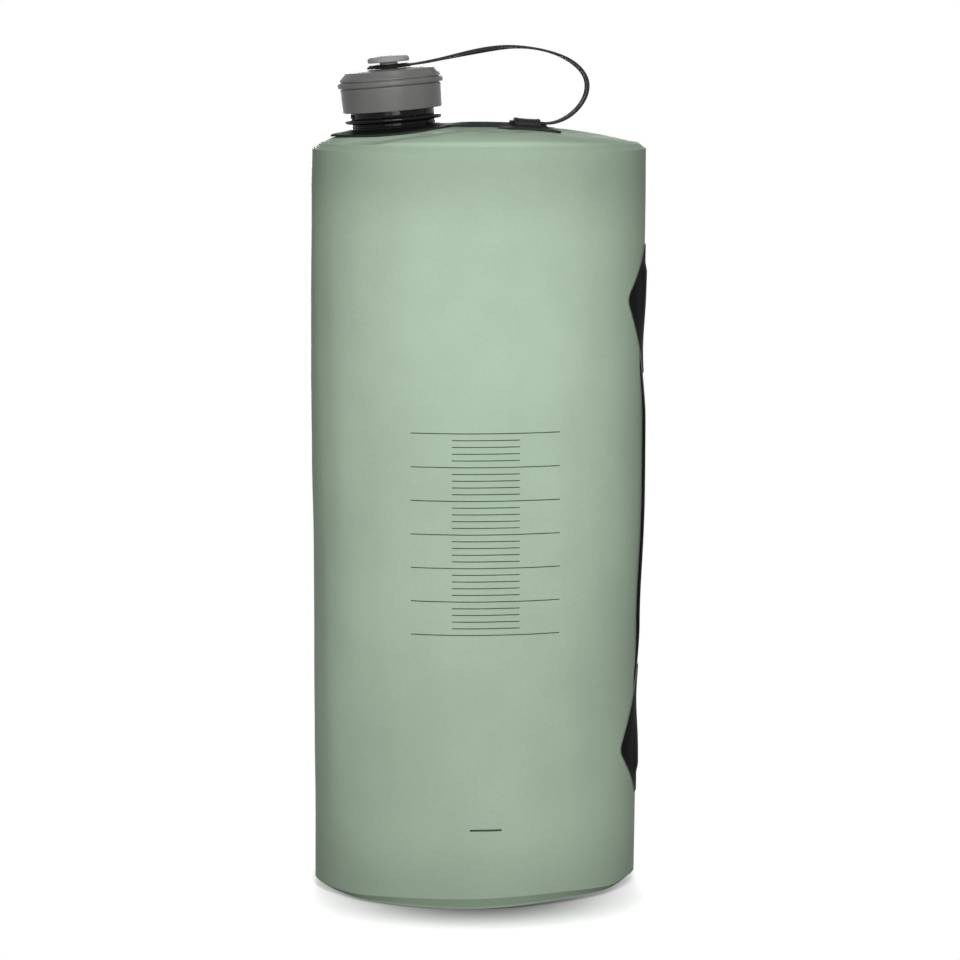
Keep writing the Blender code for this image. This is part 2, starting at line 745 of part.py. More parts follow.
def build_cap_button(material, parent):
    """Rounded button, stem and the snap head that holds it in the cap."""
    head_low = CAP_CROWN + BUTTON_STANDOFF
    head_high = head_low + BUTTON_HEIGHT
    snap_high = CAP_CEILING - RUNNING_GAP
    profile = [
        (0.0, head_high + BUTTON_CROWN),
        (BUTTON_RADIUS - 2 * BUTTON_ROUND, head_high + BUTTON_CROWN / 2),
        (BUTTON_RADIUS - BUTTON_ROUND / 3, head_high - BUTTON_ROUND / 3),
        (BUTTON_RADIUS, head_high - BUTTON_ROUND),
        (BUTTON_RADIUS, head_low + BUTTON_ROUND / 2),
        (BUTTON_RADIUS - BUTTON_ROUND / 2, head_low),
        (STEM_RADIUS, head_low),
        (STEM_RADIUS, snap_high),
        (SNAP_RADIUS, snap_high),
        (STEM_RADIUS, snap_high - SNAP_HEIGHT),
        (0.0, snap_high - SNAP_HEIGHT),
    ]
    return turned("cap_button", profile, material, parent, hollow=False)


def build_cap_gasket(material, parent):
    """Flat sealing ring on the neck's lip."""
    low = NECK_HEIGHT + RUNNING_GAP
    high = CAP_CEILING - RUNNING_GAP
    profile = [(GASKET_BORE, low), (GASKET_RADIUS, low), (GASKET_RADIUS, high), (GASKET_BORE, high)]
    return turned("cap_gasket", profile, material, parent, hollow=True)


# Handle

def kite_outline(long_side):
    """Kite with blunt ends; long_side is +1 where it tapers long upwards, else -1."""
    outer = KITE_TIP_DISTANCE * -long_side
    inner = (KITE_LENGTH - KITE_TIP_DISTANCE) * long_side
    corners = [
        (KITE_HALF_WIDTH, 0.0, KITE_TIP_ROUND),
        (KITE_END_HALF_WIDTH, inner, 0.0),
        (-KITE_END_HALF_WIDTH, inner, 0.0),
        (-KITE_HALF_WIDTH, 0.0, KITE_TIP_ROUND),
        (-KITE_END_HALF_WIDTH, outer, 0.0),
        (KITE_END_HALF_WIDTH, outer, 0.0),
    ]
    return split_long(rounded_outline(corners))


def pocket_lift(distance, from_end):
    """How far the patch stands off to make room for the strap's end."""
    side = 1 - smooth_step((abs(distance) - STRAP_HALF_WIDTH - POCKET_MARGIN) / POCKET_SLOPE)
    end = smooth_step((from_end + POCKET_SLOPE + 2 * POCKET_MARGIN) / POCKET_SLOPE)
    return (STRAP_THICKNESS + WELD_GAP) * side * end


def build_handle_patch(name, tip_height, long_side, material):
    """Kite patch laid on the wall, with a pocket over the end of the strap."""
    strap_end = tip_height - long_side * (KITE_TIP_DISTANCE - STRAP_TUCK)

    def stand_off(distance, rise):
        height = tip_height + rise
        return WELD_GAP + pocket_lift(distance, (height - strap_end) * long_side)

    def low(distance, rise):
        return on_wall(distance, tip_height + rise, stand_off(distance, rise))

    def high(distance, rise):
        return on_wall(distance, tip_height + rise, stand_off(distance, rise) + FILM)

    bm = bmesh.new()
    spacing = (STRAP_HALF_WIDTH + POCKET_MARGIN) / 2
    film_sheet(bm, [kite_outline(long_side)], spacing, low, high)
    return finish(name, bm, material)


def build_handle_strap(material):
    """Flat strap that follows the wall in the pockets and lies free between them."""
    top = HANDLE_TOP - STRAP_TUCK
    bottom = HANDLE_BOTTOM + STRAP_TUCK
    free_top = HANDLE_TOP - KITE_LENGTH
    free_bottom = HANDLE_BOTTOM + KITE_LENGTH
    heights = [bottom + (free_bottom - bottom) * k / STRAP_POCKET_STEPS for k in range(STRAP_POCKET_STEPS)]
    heights += [free_bottom + (free_top - free_bottom) * k / STRAP_SPAN_STEPS
                for k in range(STRAP_SPAN_STEPS)]
    heights += [free_top + (top - free_top) * k / STRAP_POCKET_STEPS
                for k in range(STRAP_POCKET_STEPS + 1)]
    rings = []
    for height in heights:
        into_span = min(height - free_bottom, free_top - height)
        free = smooth_step(into_span / STRAP_LEAVE)
        down_span = (free_top - height) / (free_top - free_bottom)
        skew = min(max(down_span, 0.0), 1.0)
        peak = math.log(1 / 2) / math.log(STRAP_BOW_SHARE)
        bow = STRAP_BOW * math.sin(math.pi * skew ** peak) ** 2 * free
        crown = on_wall(0.0, height, WELD_GAP)
        ring = []
        for out, order in ((STRAP_THICKNESS, 1), (0.0, -1)):
            for j in range(STRAP_COLUMNS + 1)[::order]:
                across = STRAP_HALF_WIDTH * (2 * j / STRAP_COLUMNS - 1)
                held = on_wall(across, height, WELD_GAP + out)
                loose = Vector((crown.x + bow + out, across, height))
                ring.append(held.lerp(loose, free))
        rings.append(ring)
    bm = bmesh.new()
    rows = skin(bm, rings, False)
    cap_strip(bm, rows[0])
    cap_strip(bm, rows[-1])
    return finish("handle_strap", bm, material)


def main():
    """Build every piece."""
    clear_scene()
    film_green = make_material("film_green", (0.440, 0.540, 0.430), 0.45)
    patch_black = make_material("patch_black", (0.012, 0.013, 0.012), 0.50)
    strap_black = make_material("strap_black", (0.010, 0.010, 0.010), 0.60)
    spout_black = make_material("spout_black", (0.008, 0.008, 0.009), 0.25)
    cap_grey = make_material("cap_grey", (0.120, 0.122, 0.115), 0.50)
    leash_grey = make_material("leash_grey", (0.035, 0.035, 0.035), 0.55)
    gasket_black = make_material("gasket_black", (0.015, 0.015, 0.015), 0.70)

    build_base_panel(film_green)
    build_bladder_wall(film_green)
    build_handle_patch("handle_patch_upper", HANDLE_TOP - KITE_TIP_DISTANCE, -1, patch_black)
    build_handle_patch("handle_patch_lower", HANDLE_BOTTOM + KITE_TIP_DISTANCE, 1, patch_black)
    build_handle_strap(strap_black)

    top_origin = Vector((RIM_LEAN, 0.0, RIM_HEIGHT))
    build_top_panel(film_green, top_origin)
    build_top_patch(patch_black, top_origin)
    build_leash_anchor(patch_black, top_origin)

    neck_foot = Vector((NECK_CENTRE, 0.0, seat_height()))
    neck_axis = Vector((-math.sin(NECK_LEAN), 0.0, math.cos(NECK_LEAN)))
    lean = (0.0, -NECK_LEAN, 0.0)
    spout_frame = make_empty("spout_frame", neck_foot, lean)
    build_neck(spout_black, spout_frame)
    build_leash_strap(leash_grey, neck_foot, neck_axis, neck_foot)
    leash_frame = make_empty("leash_frame", (0, 0, 0), parent=spout_frame)
    build_leash_ring(leash_grey, leash_frame)
    cap_frame = make_empty("cap_frame", (0, 0, 0), parent=leash_frame)
    turned("cap_shell", cap_profile(), cap_grey, cap_frame, hollow=True)
    build_cap_button(cap_grey, cap_frame)
    build_cap_gasket(gasket_black, cap_frame)
    bpy.context.view_layer.update()


main()
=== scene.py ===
"""Dressed model of a collapsible water carrier.

An oval film bladder with a leaning spout, a tethered screw cap and a side carry strap.
Metres, in the carrier's own frame: +Z up, +X towards the carry strap, photo seen along +Y.
"""
import math

import bmesh
import bpy
import numpy as np
from mathutils import Matrix, Vector
from mathutils.geometry import delaunay_2d_cdt


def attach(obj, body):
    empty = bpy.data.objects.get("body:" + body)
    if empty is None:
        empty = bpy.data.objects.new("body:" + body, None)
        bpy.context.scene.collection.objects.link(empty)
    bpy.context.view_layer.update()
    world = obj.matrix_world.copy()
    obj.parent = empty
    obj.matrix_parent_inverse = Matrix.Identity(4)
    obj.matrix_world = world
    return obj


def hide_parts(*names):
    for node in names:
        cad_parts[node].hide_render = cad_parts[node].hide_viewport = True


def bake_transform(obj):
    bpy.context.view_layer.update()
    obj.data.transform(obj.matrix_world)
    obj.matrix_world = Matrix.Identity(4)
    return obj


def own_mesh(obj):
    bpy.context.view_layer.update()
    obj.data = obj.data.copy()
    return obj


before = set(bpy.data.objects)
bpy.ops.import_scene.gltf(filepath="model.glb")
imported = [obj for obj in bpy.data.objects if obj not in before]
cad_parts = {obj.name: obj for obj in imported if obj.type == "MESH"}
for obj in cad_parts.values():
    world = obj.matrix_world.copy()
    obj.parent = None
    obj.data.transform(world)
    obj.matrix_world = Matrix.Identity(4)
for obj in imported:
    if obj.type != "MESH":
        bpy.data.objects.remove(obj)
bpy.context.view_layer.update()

# Camera, fitted to the rim and foot outlines of the photo
CAMERA_PLACE = (-0.0745, -1.6142, 0.4108)
CAMERA_TILT = math.radians(7.89)
CAMERA_YAW = math.radians(2.71)
CAMERA_LENS = 134.2
CAMERA_SHIFT = 0.0007
CAMERA_FAR_END = 200.0
SENSOR_WIDTH = 36.0

# Lamps: name, place, what each is aimed at, width and power
LAMPS = (
    ("key_lamp", (0.05, -0.75, 0.50), (0.0, 0.0, 0.25), 0.30, 4.45),
    ("side_lamp", (-0.34, -1.05, 0.50), (0.0, 0.0, 0.25), 0.34, 2.4),
    ("back_lamp", (0.0, 1.10, 0.30), (0.0, 0.0, 0.17), 0.50, 7.0),
    ("top_lamp", (0.0, 0.07, 2.2), (0.0, 0.0, 0.0), 0.22, 6.6),
)
SKY_LEVEL = 0.03

# Ground: the object's real shadows, with a painted contact shadow in front of the foot's middle
GROUND_RADIUS = 60.0
CONTACT_WIDE = 0.036
CONTACT_DEEP = 0.0275
CONTACT_FORWARD = 0.038
CONTACT_DARK = 0.675
CONTACT_EDGE = 2.2
GROUND_GAIN = 1.38
GROUND_PALE = 0.42
GROUND_BOUNCE = 0.45

# Bladder, as in the part's source
FILM = 0.0005
CAD_FILM = 0.0008
WELD_GAP = 0.0003
LAP = CAD_FILM + WELD_GAP
RIM_HEIGHT = 0.3376
RIM_WIDTH = 0.150
RIM_DEPTH = 0.112
FOOT_WIDTH = 0.1474
FOOT_DEPTH = 0.1101
RIM_LEAN = 0.0019
FOOT_BAND_HEIGHT = 0.0050
FOOT_BAND_DRAW = 0.0013
RIM_BAND_RISE_END = 0.0026
RIM_BAND_DRAW_END = 0.0034
RIM_BAND_RISE_SIDE = 0.0041
RIM_BAND_DRAW_SIDE = 0.0017
DOME_RISE = 0.0107

# Spout and its seat
NECK_CENTRE = -0.0363
NECK_LEAN = math.radians(4.7)
NECK_HEIGHT = 0.0236
NECK_RADIUS = 0.01875
NECK_BORE = 0.0165
NECK_BEAD = 0.00025
NECK_FIT = 0.0003
FLANGE_RADIUS = 0.0215
FLANGE_THICKNESS = 0.0010
COLLAR_RADIUS = 0.02195
COLLAR_THICKNESS = 0.0022
COLLAR_HEIGHT = 0.0058
SEAT_RADIUS = 0.0212
SEAT_BLEND = 0.0120
SEAT_DROP = 0.0005
THREAD_PITCH = 0.004
THREAD_CREST = 0.0198
THREAD_TURNS = 3.2
THREAD_WIDTH = 0.0017
THREAD_START = math.radians(200)
THREAD_GAP = 0.0011

# Top patch
PATCH_LOW = 0.0003
PATCH_HIGH = PATCH_LOW + CAD_FILM
PATCH_THICKNESS = 0.00095
PATCH_SPACING = 0.0012
RING_RADIUS = 0.0275
RING_TIP = 0.0300
RING_TIP_SPREAD = math.radians(24)
ARM_HALF_WIDTH = 0.0105
ARM_NOTCH_LENGTH = 0.0060
ANCHOR_CENTRE = 0.0233
TOE_REACH = 0.0127
TOE_SPREAD = 0.0210
TOE_HALF_WIDTH = 0.0014
TOE_WAIST_SPREAD = 0.0165
TOE_WAIST_REACH = 0.0088
TOE_WAIST_HALF = 0.0114
TOE_WAIST_ROUND = 0.0180
# The patch rises over the spout's moulded foot, and curls up at its free left tip
PATCH_FOOT_RISE = 0.0011
PATCH_FOOT_REACH = 0.0065
PATCH_TIP_CURL = 0.0007
PATCH_TIP_START = 0.010
PATCH_TIP_REACH = 0.009
PATCH_TIP_BLUNT = 0.0014

# Leash anchor and leash
ANCHOR_LENGTH = 0.0117
ANCHOR_FOOT_HALF = 0.0105
ANCHOR_CROWN_HALF = 0.0048
ANCHOR_SLOPE_HALF = 0.0074
ANCHOR_WALL = 0.0008
ANCHOR_FOOT_WALL = 0.0007
ANCHOR_SINK = 0.0002
ANCHOR_ROUND = 0.0006
ANCHOR_TUNNEL_FIT = 0.0006
# The bridge's raised ribs: (share of the anchor's length off its middle, height)
ANCHOR_RIBS = ((0.0, -0.00014), (0.2, -0.0001), (0.37, 0.0), (0.42, 0.00014), (0.485, 0.00012),
               (0.5, 0.0))
LEASH_WIDTH = 0.0055
LEASH_THICKNESS = 0.0010
LEASH_EDGE_THICKNESS = 0.00112
LEASH_MIDDLE_THICKNESS = 0.00064
LEASH_EDGE_WIDTH = 0.0011
LEASH_LOW = PATCH_HIGH + WELD_GAP
LEASH_MIDDLE = LEASH_LOW + LEASH_THICKNESS / 2
# Length, width and thickness of the stop at the leash's end
LEASH_STOP = (0.0018, 0.0072, 0.0011)
LEASH_STOP_ROUND = 0.0005
LEASH_STOP_GAP = 0.0003
LEASH_EXIT = 0.0018
LEASH_BEND = (0.0504, 0.3655)
LEASH_CREST = (0.0170, 0.3829)
# How far the start and the end of each of the leash's three spans draw its curve along
LEASH_PULLS = ((0.0090, 0.0090), (0.0100, 0.0180), (0.0140, 0.0130))
LEASH_STEPS = 40
LEASH_EYE_LAP = 0.0012
LEASH_FLARE = 0.30
LEASH_FLARE_START = 16
LEASH_FLARE_STEPS = 14
LEASH_CLEAR = 0.004
LEASH_EDGE_EASE = 0.0004
LEASH_RING_RADIUS = 0.0099
LEASH_RING_THICKNESS = 0.0017
# Twist in radians at places along the leash's three spans
LEASH_TWISTS = ((0.0, 0.0), (0.5, 0.13), (1.0, 0.19), (1.35, 0.17), (1.75, 0.0), (2.3, 0.32), (2.75, 0.09),
                (3.0, 0.0))

# Cap and button, heights along the spout's axis from the film
SKIRT_BOTTOM = 0.0098
SKIRT_TOP = 0.0205
SKIRT_RADIUS_LOW = 0.02225
SKIRT_RADIUS_HIGH = 0.02265
SKIRT_BORE = 0.0204
GROOVE_WIDTH = 0.00035
GROOVE_RADIUS = SKIRT_RADIUS_HIGH - 0.0007
BEAD_RADIUS = 0.02375
BEAD_HEIGHT = 0.0025
DOME_RADIUS_LOW = 0.02285
DOME_RADIUS_HIGH = 0.02005
DOME_SIDE_HEIGHT = 0.00375
DOME_CROWN = 0.0007
CAP_SEAT_RADIUS = 0.0106
CAP_CROWN = SKIRT_TOP + 2 * GROOVE_WIDTH + BEAD_HEIGHT + DOME_SIDE_HEIGHT + DOME_CROWN
CAP_CEILING = CAP_CROWN - 0.0022
RING_LOW = CAP_CROWN + 0.0003
BUTTON_RADIUS = 0.00945
BUTTON_HEIGHT = 0.0026
BUTTON_CROWN = 0.0004
BUTTON_STANDOFF = 0.0028
STEM_RADIUS = 0.0040
STEM_FIT = 0.0003
SNAP_RADIUS = 0.0052
SNAP_HEIGHT = 0.0011
EYE_EDGE = 0.0007
EYE_DRAW = 0.0013

# Carry strap and its two patches
HANDLE_TOP = 0.2945
HANDLE_BOTTOM = 0.0433
KITE_LENGTH = 0.0580
KITE_TIP_DISTANCE = 0.0228
KITE_HALF_WIDTH = 0.0305
KITE_END_HALF_WIDTH = 0.0104
KITE_TIP_ROUND = 0.0060
KITE_SPACING = 0.0013
KITE_LOW = 0.00004
KITE_HIGH = 0.00046
STRAP_HALF_WIDTH = 0.0098
STRAP_THICKNESS = 0.0010
STRAP_PRESSED = 0.0007
STRAP_TUCK = 0.0150
STRAP_LEAVE = 0.0200
STRAP_LOOSE_SHARE = 0.55
STRAP_EDGE_SHARE = 0.72
STRAP_EDGE_REACH = 0.14
STRAP_BACK_SHIFT = 0.05
STRAP_COLUMNS = 20
STRAP_ROWS = 240
POCKET_MARGIN = 0.0012
POCKET_SLOPE = 0.0050
WELD_RIM = 0.0016
SMALL_GAP = 0.0001

# How the filled film departs from its plain oval: (height, distance out) at each end, and the
# dents (height, reach, depth) that the carry strap presses
LEFT_BULGE = ((0.0, 0.0002), (0.04, 0.0), (0.07, 0.0003), (0.10, 0.0005), (0.135, 0.0004),
              (0.16, 0.00035), (0.20, 0.0009), (0.24, 0.0012), (0.27, 0.0012), (0.32, 0.0006),
              (RIM_HEIGHT, 0.0001))
RIGHT_BULGE = ((0.0, -0.0004), (0.05, -0.0003), (0.12, -0.0001), (0.18, 0.0008), (0.22, 0.0006),
               (0.27, 0.0002), (0.31, 0.0003), (RIM_HEIGHT, 0.0001))
STRAP_DENTS = ((0.246, 0.0177, 0.00140), (0.130, 0.0255, 0.00060), (0.087, 0.0170, 0.00135))
STRAP_DENT_FADE = 0.007
# Long soft waves of the wall: depth, waves round the oval, phase and turn with the height
FLUTES = ((0.00016, 7, 1.1, 5.0), (0.00010, 13, -0.6, -11.0), (0.00008, 4, 0.0, 40.0),
          (0.00006, 22, 2.0, 26.0))
FLUTE_FADE = 0.045
FLUTE_OFF_FOOT = 0.010
FLUTE_OFF_RIM = 0.004
# Fine puckers that the welds draw in the film
PUCKER_DEPTH = 0.00005
PUCKERS_ROUND = 46
PUCKER_RIM_REACH = 0.010
PUCKER_FOOT_REACH = 0.008
PUCKER_CLEAR = 0.003
# Angle from the +X end at which the waves start, and over which they grow
WAVES_OFF_STRAP = (0.60, 0.35)

# How far the top film stands over its plain dome by the rim, and droops beside the spout and the arm.
# A fade is (where it starts, its reach).
SWELL_LEFT = 0.0015
SWELL_RIGHT = 0.0005
SWELL_SIDE = 0.0017
SWELL_GAIN = 6.75
NECK_DROOP = 0.0019
NECK_DROOP_REACH = 0.024
NECK_DROOP_IN = (0.016, 0.012)
NECK_DROOP_OUT = (0.031, 0.013)
ARM_DROOP = 0.0009
ARM_DROOP_IN = (0.001, 0.011)
ARM_DROOP_OUT = (0.018, 0.034)
ARM_DROOP_START = (-0.020, 0.020)
ARM_DROOP_END = (0.040, 0.025)
# Start, end, half width and height of each soft crease in the top film
CREASES = (
    ((-0.030, -0.027), (-0.004, -0.044), 0.0032, 0.00050),
    ((-0.021, -0.024), (0.010, -0.037), 0.0026, -0.00060),
    ((-0.010, -0.019), (-0.025, -0.042), 0.0034, -0.00070),
    ((-0.004, -0.022), (-0.016, -0.045), 0.0030, 0.00045),
    ((-0.014, -0.017), (0.020, -0.027), 0.0028, 0.00040),
    ((-0.016, -0.018), (0.004, -0.042), 0.0050, -0.00075),
    ((0.000, -0.020), (0.022, -0.040), 0.0070, 0.00055),
    ((-0.058, -0.020), (-0.066, -0.028), 0.0022, 0.00022),
    ((-0.026, 0.028), (0.002, 0.043), 0.0032, 0.00045),
    ((-0.014, 0.020), (0.018, 0.034), 0.0026, -0.00030),
    ((-0.056, 0.022), (-0.062, 0.032), 0.0022, 0.00025),
    ((0.040, 0.016), (0.058, 0.024), 0.0030, 0.00020),
    ((0.040, -0.018), (0.060, -0.022), 0.0030, 0.00018),
)
CREASE_OFF_WELD = (0.001, 0.005)
CREASE_OFF_PATCH = (0.0265, 0.004)
TOP_WELD_LIFT = 0.00052
TOP_WELD_REACH = 0.007
TOP_EDGE_LIFT = TOP_WELD_LIFT * 0.9
TOP_LIFT = 0.00025
TOP_HOLE_FIT = 0.0002
TOP_LAP_SHARE = 0.2
TOP_ROWS = 84
TOP_ROW_CROWDING = 1.35

# Foot of the wall: its start above the seam, how far in it turns, its shape up to the crease as
# (share of the band's height, distance in), and the rows from there to where it has relaxed
FOOT_BAND_LOW = 0.0008
FOOT_RELAXES = 0.030
FOOT_START = 0.0003
FOOT_TURN = 0.00110
FOOT_SHAPE = ((0.0, FOOT_TURN), (0.05, 0.00130), (0.15, 0.00133), (0.36, 0.00098), (0.60, 0.00062),
              (0.84, 0.00028), (0.94, 0.00012), (1.0, 0.0))
FOOT_RELAX_SHARES = (0.02, 0.08, 0.16, 0.26, 0.38, 0.52, 0.68, 0.84)
# How the foot's seam curls up at each end: height, and start and reach by the share of the way there
CURL_RIGHT = ((0.0024, -0.1, 0.8), (0.0025, 0.78, 0.2))
CURL_LEFT = ((0.0006, 0.1, 0.6), (0.0022, 0.7, 0.3))
# Rim band: (share of the way up, depth under its plain face) outside
RIM_SHAPE = ((0.0, 0.0), (0.02, -0.00006), (0.07, -0.00010), (0.14, -0.00005), (0.22, 0.00002),
             (0.5, 0.00006), (0.78, 0.00003), (0.88, -0.00003), (0.955, -0.00004), (0.985, 0.00004),
             (1.0, 0.00018))
# Floor film: (distance in, height) of the pressed seam and the flat underside, and the rows inside
FLOOR_SHAPE = ((0.0034, 0.0), (0.0040, 0.00015), (0.0046, 0.0), (0.012, 0.0), (0.022, 0.00004),
               (0.034, 0.0), (0.046, 0.0))
FLOOR_INSIDE = (0.046, 0.034, 0.022, 0.012)
FLOOR_FIT = 0.0003
FLOOR_EDGE_DRAW = 0.0010
FLOOR_EDGE_SHARE = 0.8
FLOOR_FLATTENS = (0.006, 0.05)

# Printed level gauge: sizes for both prints, and those that each has for itself
GAUGE_LINES = {"Spacing": 0.003, "Line Width": 0.00042, "Ink Thickness": 0.00008, "Centre": 0.0022}
GAUGES = {
    "level_gauge": {"Lines": 31, "Lowest Height": 0.1250, "Short Length": 0.030, "Long Length": 0.066},
    "base_line": {"Lines": 1, "Lowest Height": 0.0365, "Short Length": 0.0142, "Long Length": 0.0142,
                  "Line Width": 0.0009},
}

# Films: light and dark colour, roughness, refraction, and (height, brightness) stations of painted light and
# shade: the wall and its bands darker towards the foot and the rim, the top film lighter by the rim and
# darker over its crown
FILMS = {
    "sage_film": ((0.441, 0.563, 0.430), (0.383, 0.493, 0.375), 0.50, 1.09,
                  ((0.006, 0.86), (0.040, 1.0), (0.297, 1.0), (0.3330, 0.79), (0.3376, 0.80))),
    "sage_weld": ((0.406, 0.523, 0.396), (0.382, 0.492, 0.373), 0.42, 1.09,
                  ((0.0012, 0.74), (0.006, 0.72), (0.200, 1.0), (0.3380, 0.84), (0.3400, 0.81),
                   (0.3417, 0.98))),
    "sage_top": ((0.412, 0.540, 0.408), (0.388, 0.510, 0.384), 0.52, 1.06,
                 ((0.3385, 1.50), (0.3400, 1.66), (0.3436, 1.66), (0.3450, 1.28), (0.3462, 0.78),
                  (0.3478, 0.70))),
}
# Mouldings: light and dark colour, roughness, scale and depth of the grain, rubbing and refraction
MOULDINGS = {
    "black_spout": ((0.0050, 0.0050, 0.0054), (0.0034, 0.0034, 0.0036), 0.12, 500.0, 0.00003, 0.12, 1.22),
    "grey_cap": ((0.150, 0.150, 0.145), (0.131, 0.131, 0.127), 0.34, 2600.0, 0.00006, 0.45, 1.28),
    "grey_button": ((0.345, 0.345, 0.336), (0.300, 0.300, 0.292), 0.42, 2600.0, 0.00005, 0.45, 1.20),
    "black_eye": ((0.010, 0.010, 0.0105), (0.007, 0.007, 0.0075), 0.42, 1800.0, 0.00004, 0.10, 1.12),
    "black_loop": ((0.0140, 0.0140, 0.0142), (0.0100, 0.0100, 0.0102), 0.50, 1400.0, 0.00005, 0.10, 1.12),
    "dark_leash": ((0.036, 0.036, 0.037), (0.028, 0.028, 0.029), 0.46, 1800.0, 0.00004, 0.12, 1.14),
    "black_seal": ((0.016, 0.016, 0.016), (0.011, 0.011, 0.011), 0.65, 1800.0, 0.00004, 0.1, 1.3),
}
# Share of pale squeezed film along the cut edge of the black films
PATCH_LINES = {"black_film": 0.7, "black_cover": 0.08}

WALL_COLUMNS = 288
TURNED_SIDES = 192
SHARP_ANGLE = math.radians(32)
SOFTEN_ANGLE = math.radians(40)
SOFTEN_WIDTH = 0.00012
ANGLES = np.linspace(0, 2 * math.pi, WALL_COLUMNS, endpoint=False)
UP = np.array([0.0, 0.0, 1.0])


# Objects, camera and lamps

def add_object(name, data):
    """A new object in the scene."""
    obj = bpy.data.objects.new(name, data)
    bpy.context.scene.collection.objects.link(obj)
    return obj


def place_camera():
    """The photo's camera."""
    data = bpy.data.cameras.new("photo_camera")
    data.lens = CAMERA_LENS
    data.sensor_width = SENSOR_WIDTH
    data.shift_x = CAMERA_SHIFT
    data.clip_end = CAMERA_FAR_END
    camera = add_object("photo_camera", data)
    camera.location = CAMERA_PLACE
    camera.rotation_euler = (math.pi / 2 - CAMERA_TILT, 0.0, -CAMERA_YAW)
    bpy.context.scene.camera = camera


def soft_lamp(name, place, target, size, energy):
    """A square soft lamp aimed at a point."""
    data = bpy.data.lights.new(name, "AREA")
    data.shape = "SQUARE"
    data.size = size
    data.energy = energy
    lamp = add_object(name, data)
    lamp.location = place
    lamp.rotation_euler = (Vector(target) - Vector(place)).to_track_quat("-Z", "Y").to_euler()


# Node building

class Wire:
    """An output in a node tree, so that maths on it is written as maths."""

    def __init__(self, socket):
        self.socket = socket

    def __add__(self, other):
        return maths("ADD", self, other)

    def __sub__(self, other):
        return maths("SUBTRACT", self, other)

    def __rsub__(self, other):
        return maths("SUBTRACT", other, self)

    def __mul__(self, other):
        return maths("MULTIPLY", self, other)

    def __truediv__(self, other):
        return maths("DIVIDE", self, other)

    def __mod__(self, other):
        return maths("MODULO", self, other)

    def __pow__(self, other):
        return maths("POWER", self, other)

    def __rpow__(self, other):
        return maths("POWER", other, self)

    def __abs__(self):
        return maths("ABSOLUTE", self)


def feed(socket, value):
    """Give an input a wire or a plain value."""
    if isinstance(value, Wire):
        socket.id_data.links.new(value.socket, socket)
    else:
        socket.default_value = value


def add_node(tree, kind, values=None, **settings):
    """One node with its settings and inputs, and its outputs as wires by number and by name."""
    made = tree.nodes.new(kind)
    for key, value in settings.items():
        setattr(made, key, value)
    for key, value in (values or {}).items():
        feed(made.inputs[key], value)
    outputs = list(made.outputs)
    return {key: Wire(socket) for key, socket in [*enumerate(outputs), *((s.name, s) for s in outputs)]}


def tree_of(*values):
    """The tree of the first wire among some values."""
    return next(value.socket.id_data for value in values if isinstance(value, Wire))


def maths(operation, first, second=0.0):
    """Result of a Math node, in a shader or a geometry tree."""
    return add_node(tree_of(first, second), "ShaderNodeMath", {0: first, 1: second}, operation=operation)[0]


def vector_maths(operation, first, second):
    """Vector result of a Vector Math node."""
    return add_node(tree_of(first), "ShaderNodeVectorMath", {0: first, 1: second}, operation=operation)[0]


def blend_color(factor, first, second):
    """Result of a colour mix."""
    return add_node(tree_of(factor), "ShaderNodeMix", {0: factor, 6: first, 7: second}, data_type="RGBA")[2]


def spread(value, low, high, to_low=0.0, to_high=1.0, smooth=True):
    """Value mapped from one range to another."""
    return add_node(tree_of(value), "ShaderNodeMapRange",
                    {"Value": value, 1: low, 2: high, 3: to_low, 4: to_high},
                    interpolation_type="SMOOTHSTEP" if smooth else "LINEAR")[0]


def noise(vector, scale, detail=2.0, roughness=0.5):
    """Noise value at a scale."""
    return add_node(tree_of(vector), "ShaderNodeTexNoise",
                    {"Vector": vector, "Scale": scale, "Detail": detail, "Roughness": roughness})[0]


def parts_of(vector):
    """X, Y and Z of a vector."""
    return add_node(tree_of(vector), "ShaderNodeSeparateXYZ", {0: vector})


def join_parts(tree, **parts):
    """Vector of its X, Y and Z."""
    return add_node(tree, "ShaderNodeCombineXYZ", parts)[0]


def rgba(color):
    """A colour with full cover."""
    return (*color, 1.0)


def new_tree(name, kind, inputs, outputs):
    """A node tree with sockets of (name, kind, default), and the wires of its inputs."""
    tree = bpy.data.node_groups.new(name, kind)
    for way, sockets in (("INPUT", inputs), ("OUTPUT", outputs)):
        for label, socket_kind, *default in sockets:
            socket = tree.interface.new_socket(name=label, in_out=way,
                                               socket_type="NodeSocket" + socket_kind)
            if default:
                socket.default_value = default[0]
    return tree, add_node(tree, "NodeGroupInput")


def end_tree(tree, **results):
    """Feed a tree's outputs."""
    add_node(tree, "NodeGroupOutput", results)
    return tree


def use_group(group, place, **values):
    """A group placed in a material, with its inputs given by name (underscores for spaces)."""
    named = {key.replace("_", " "): value for key, value in values.items()}
    return add_node(tree_of(place), "ShaderNodeGroup", {"Place": place, **named}, node_tree=group)


# Shader groups

def moulded_grain():
    """Fine grain of moulded plastic, rubber and film."""
    tree, given = new_tree(
        "moulded_grain", "ShaderNodeTree",
        [("Place", "Vector"), ("Scale", "Float", 1200.0), ("Depth", "Float", 1.0), ("Polish", "Float", 0.4),
         ("Polish Spread", "Float", 0.06)],
        [("Height", "Float"), ("Roughness", "Float")])
    fine = noise(given["Place"], given["Scale"], 3.0, 0.6)
    broad = noise(given["Place"], given["Scale"] * 0.06, 2.0)
    uneven = fine * 0.5 + broad * 0.5
    return end_tree(tree, Height=fine * given["Depth"],
                    Roughness=given["Polish"] + (uneven - 0.5) * given["Polish Spread"])


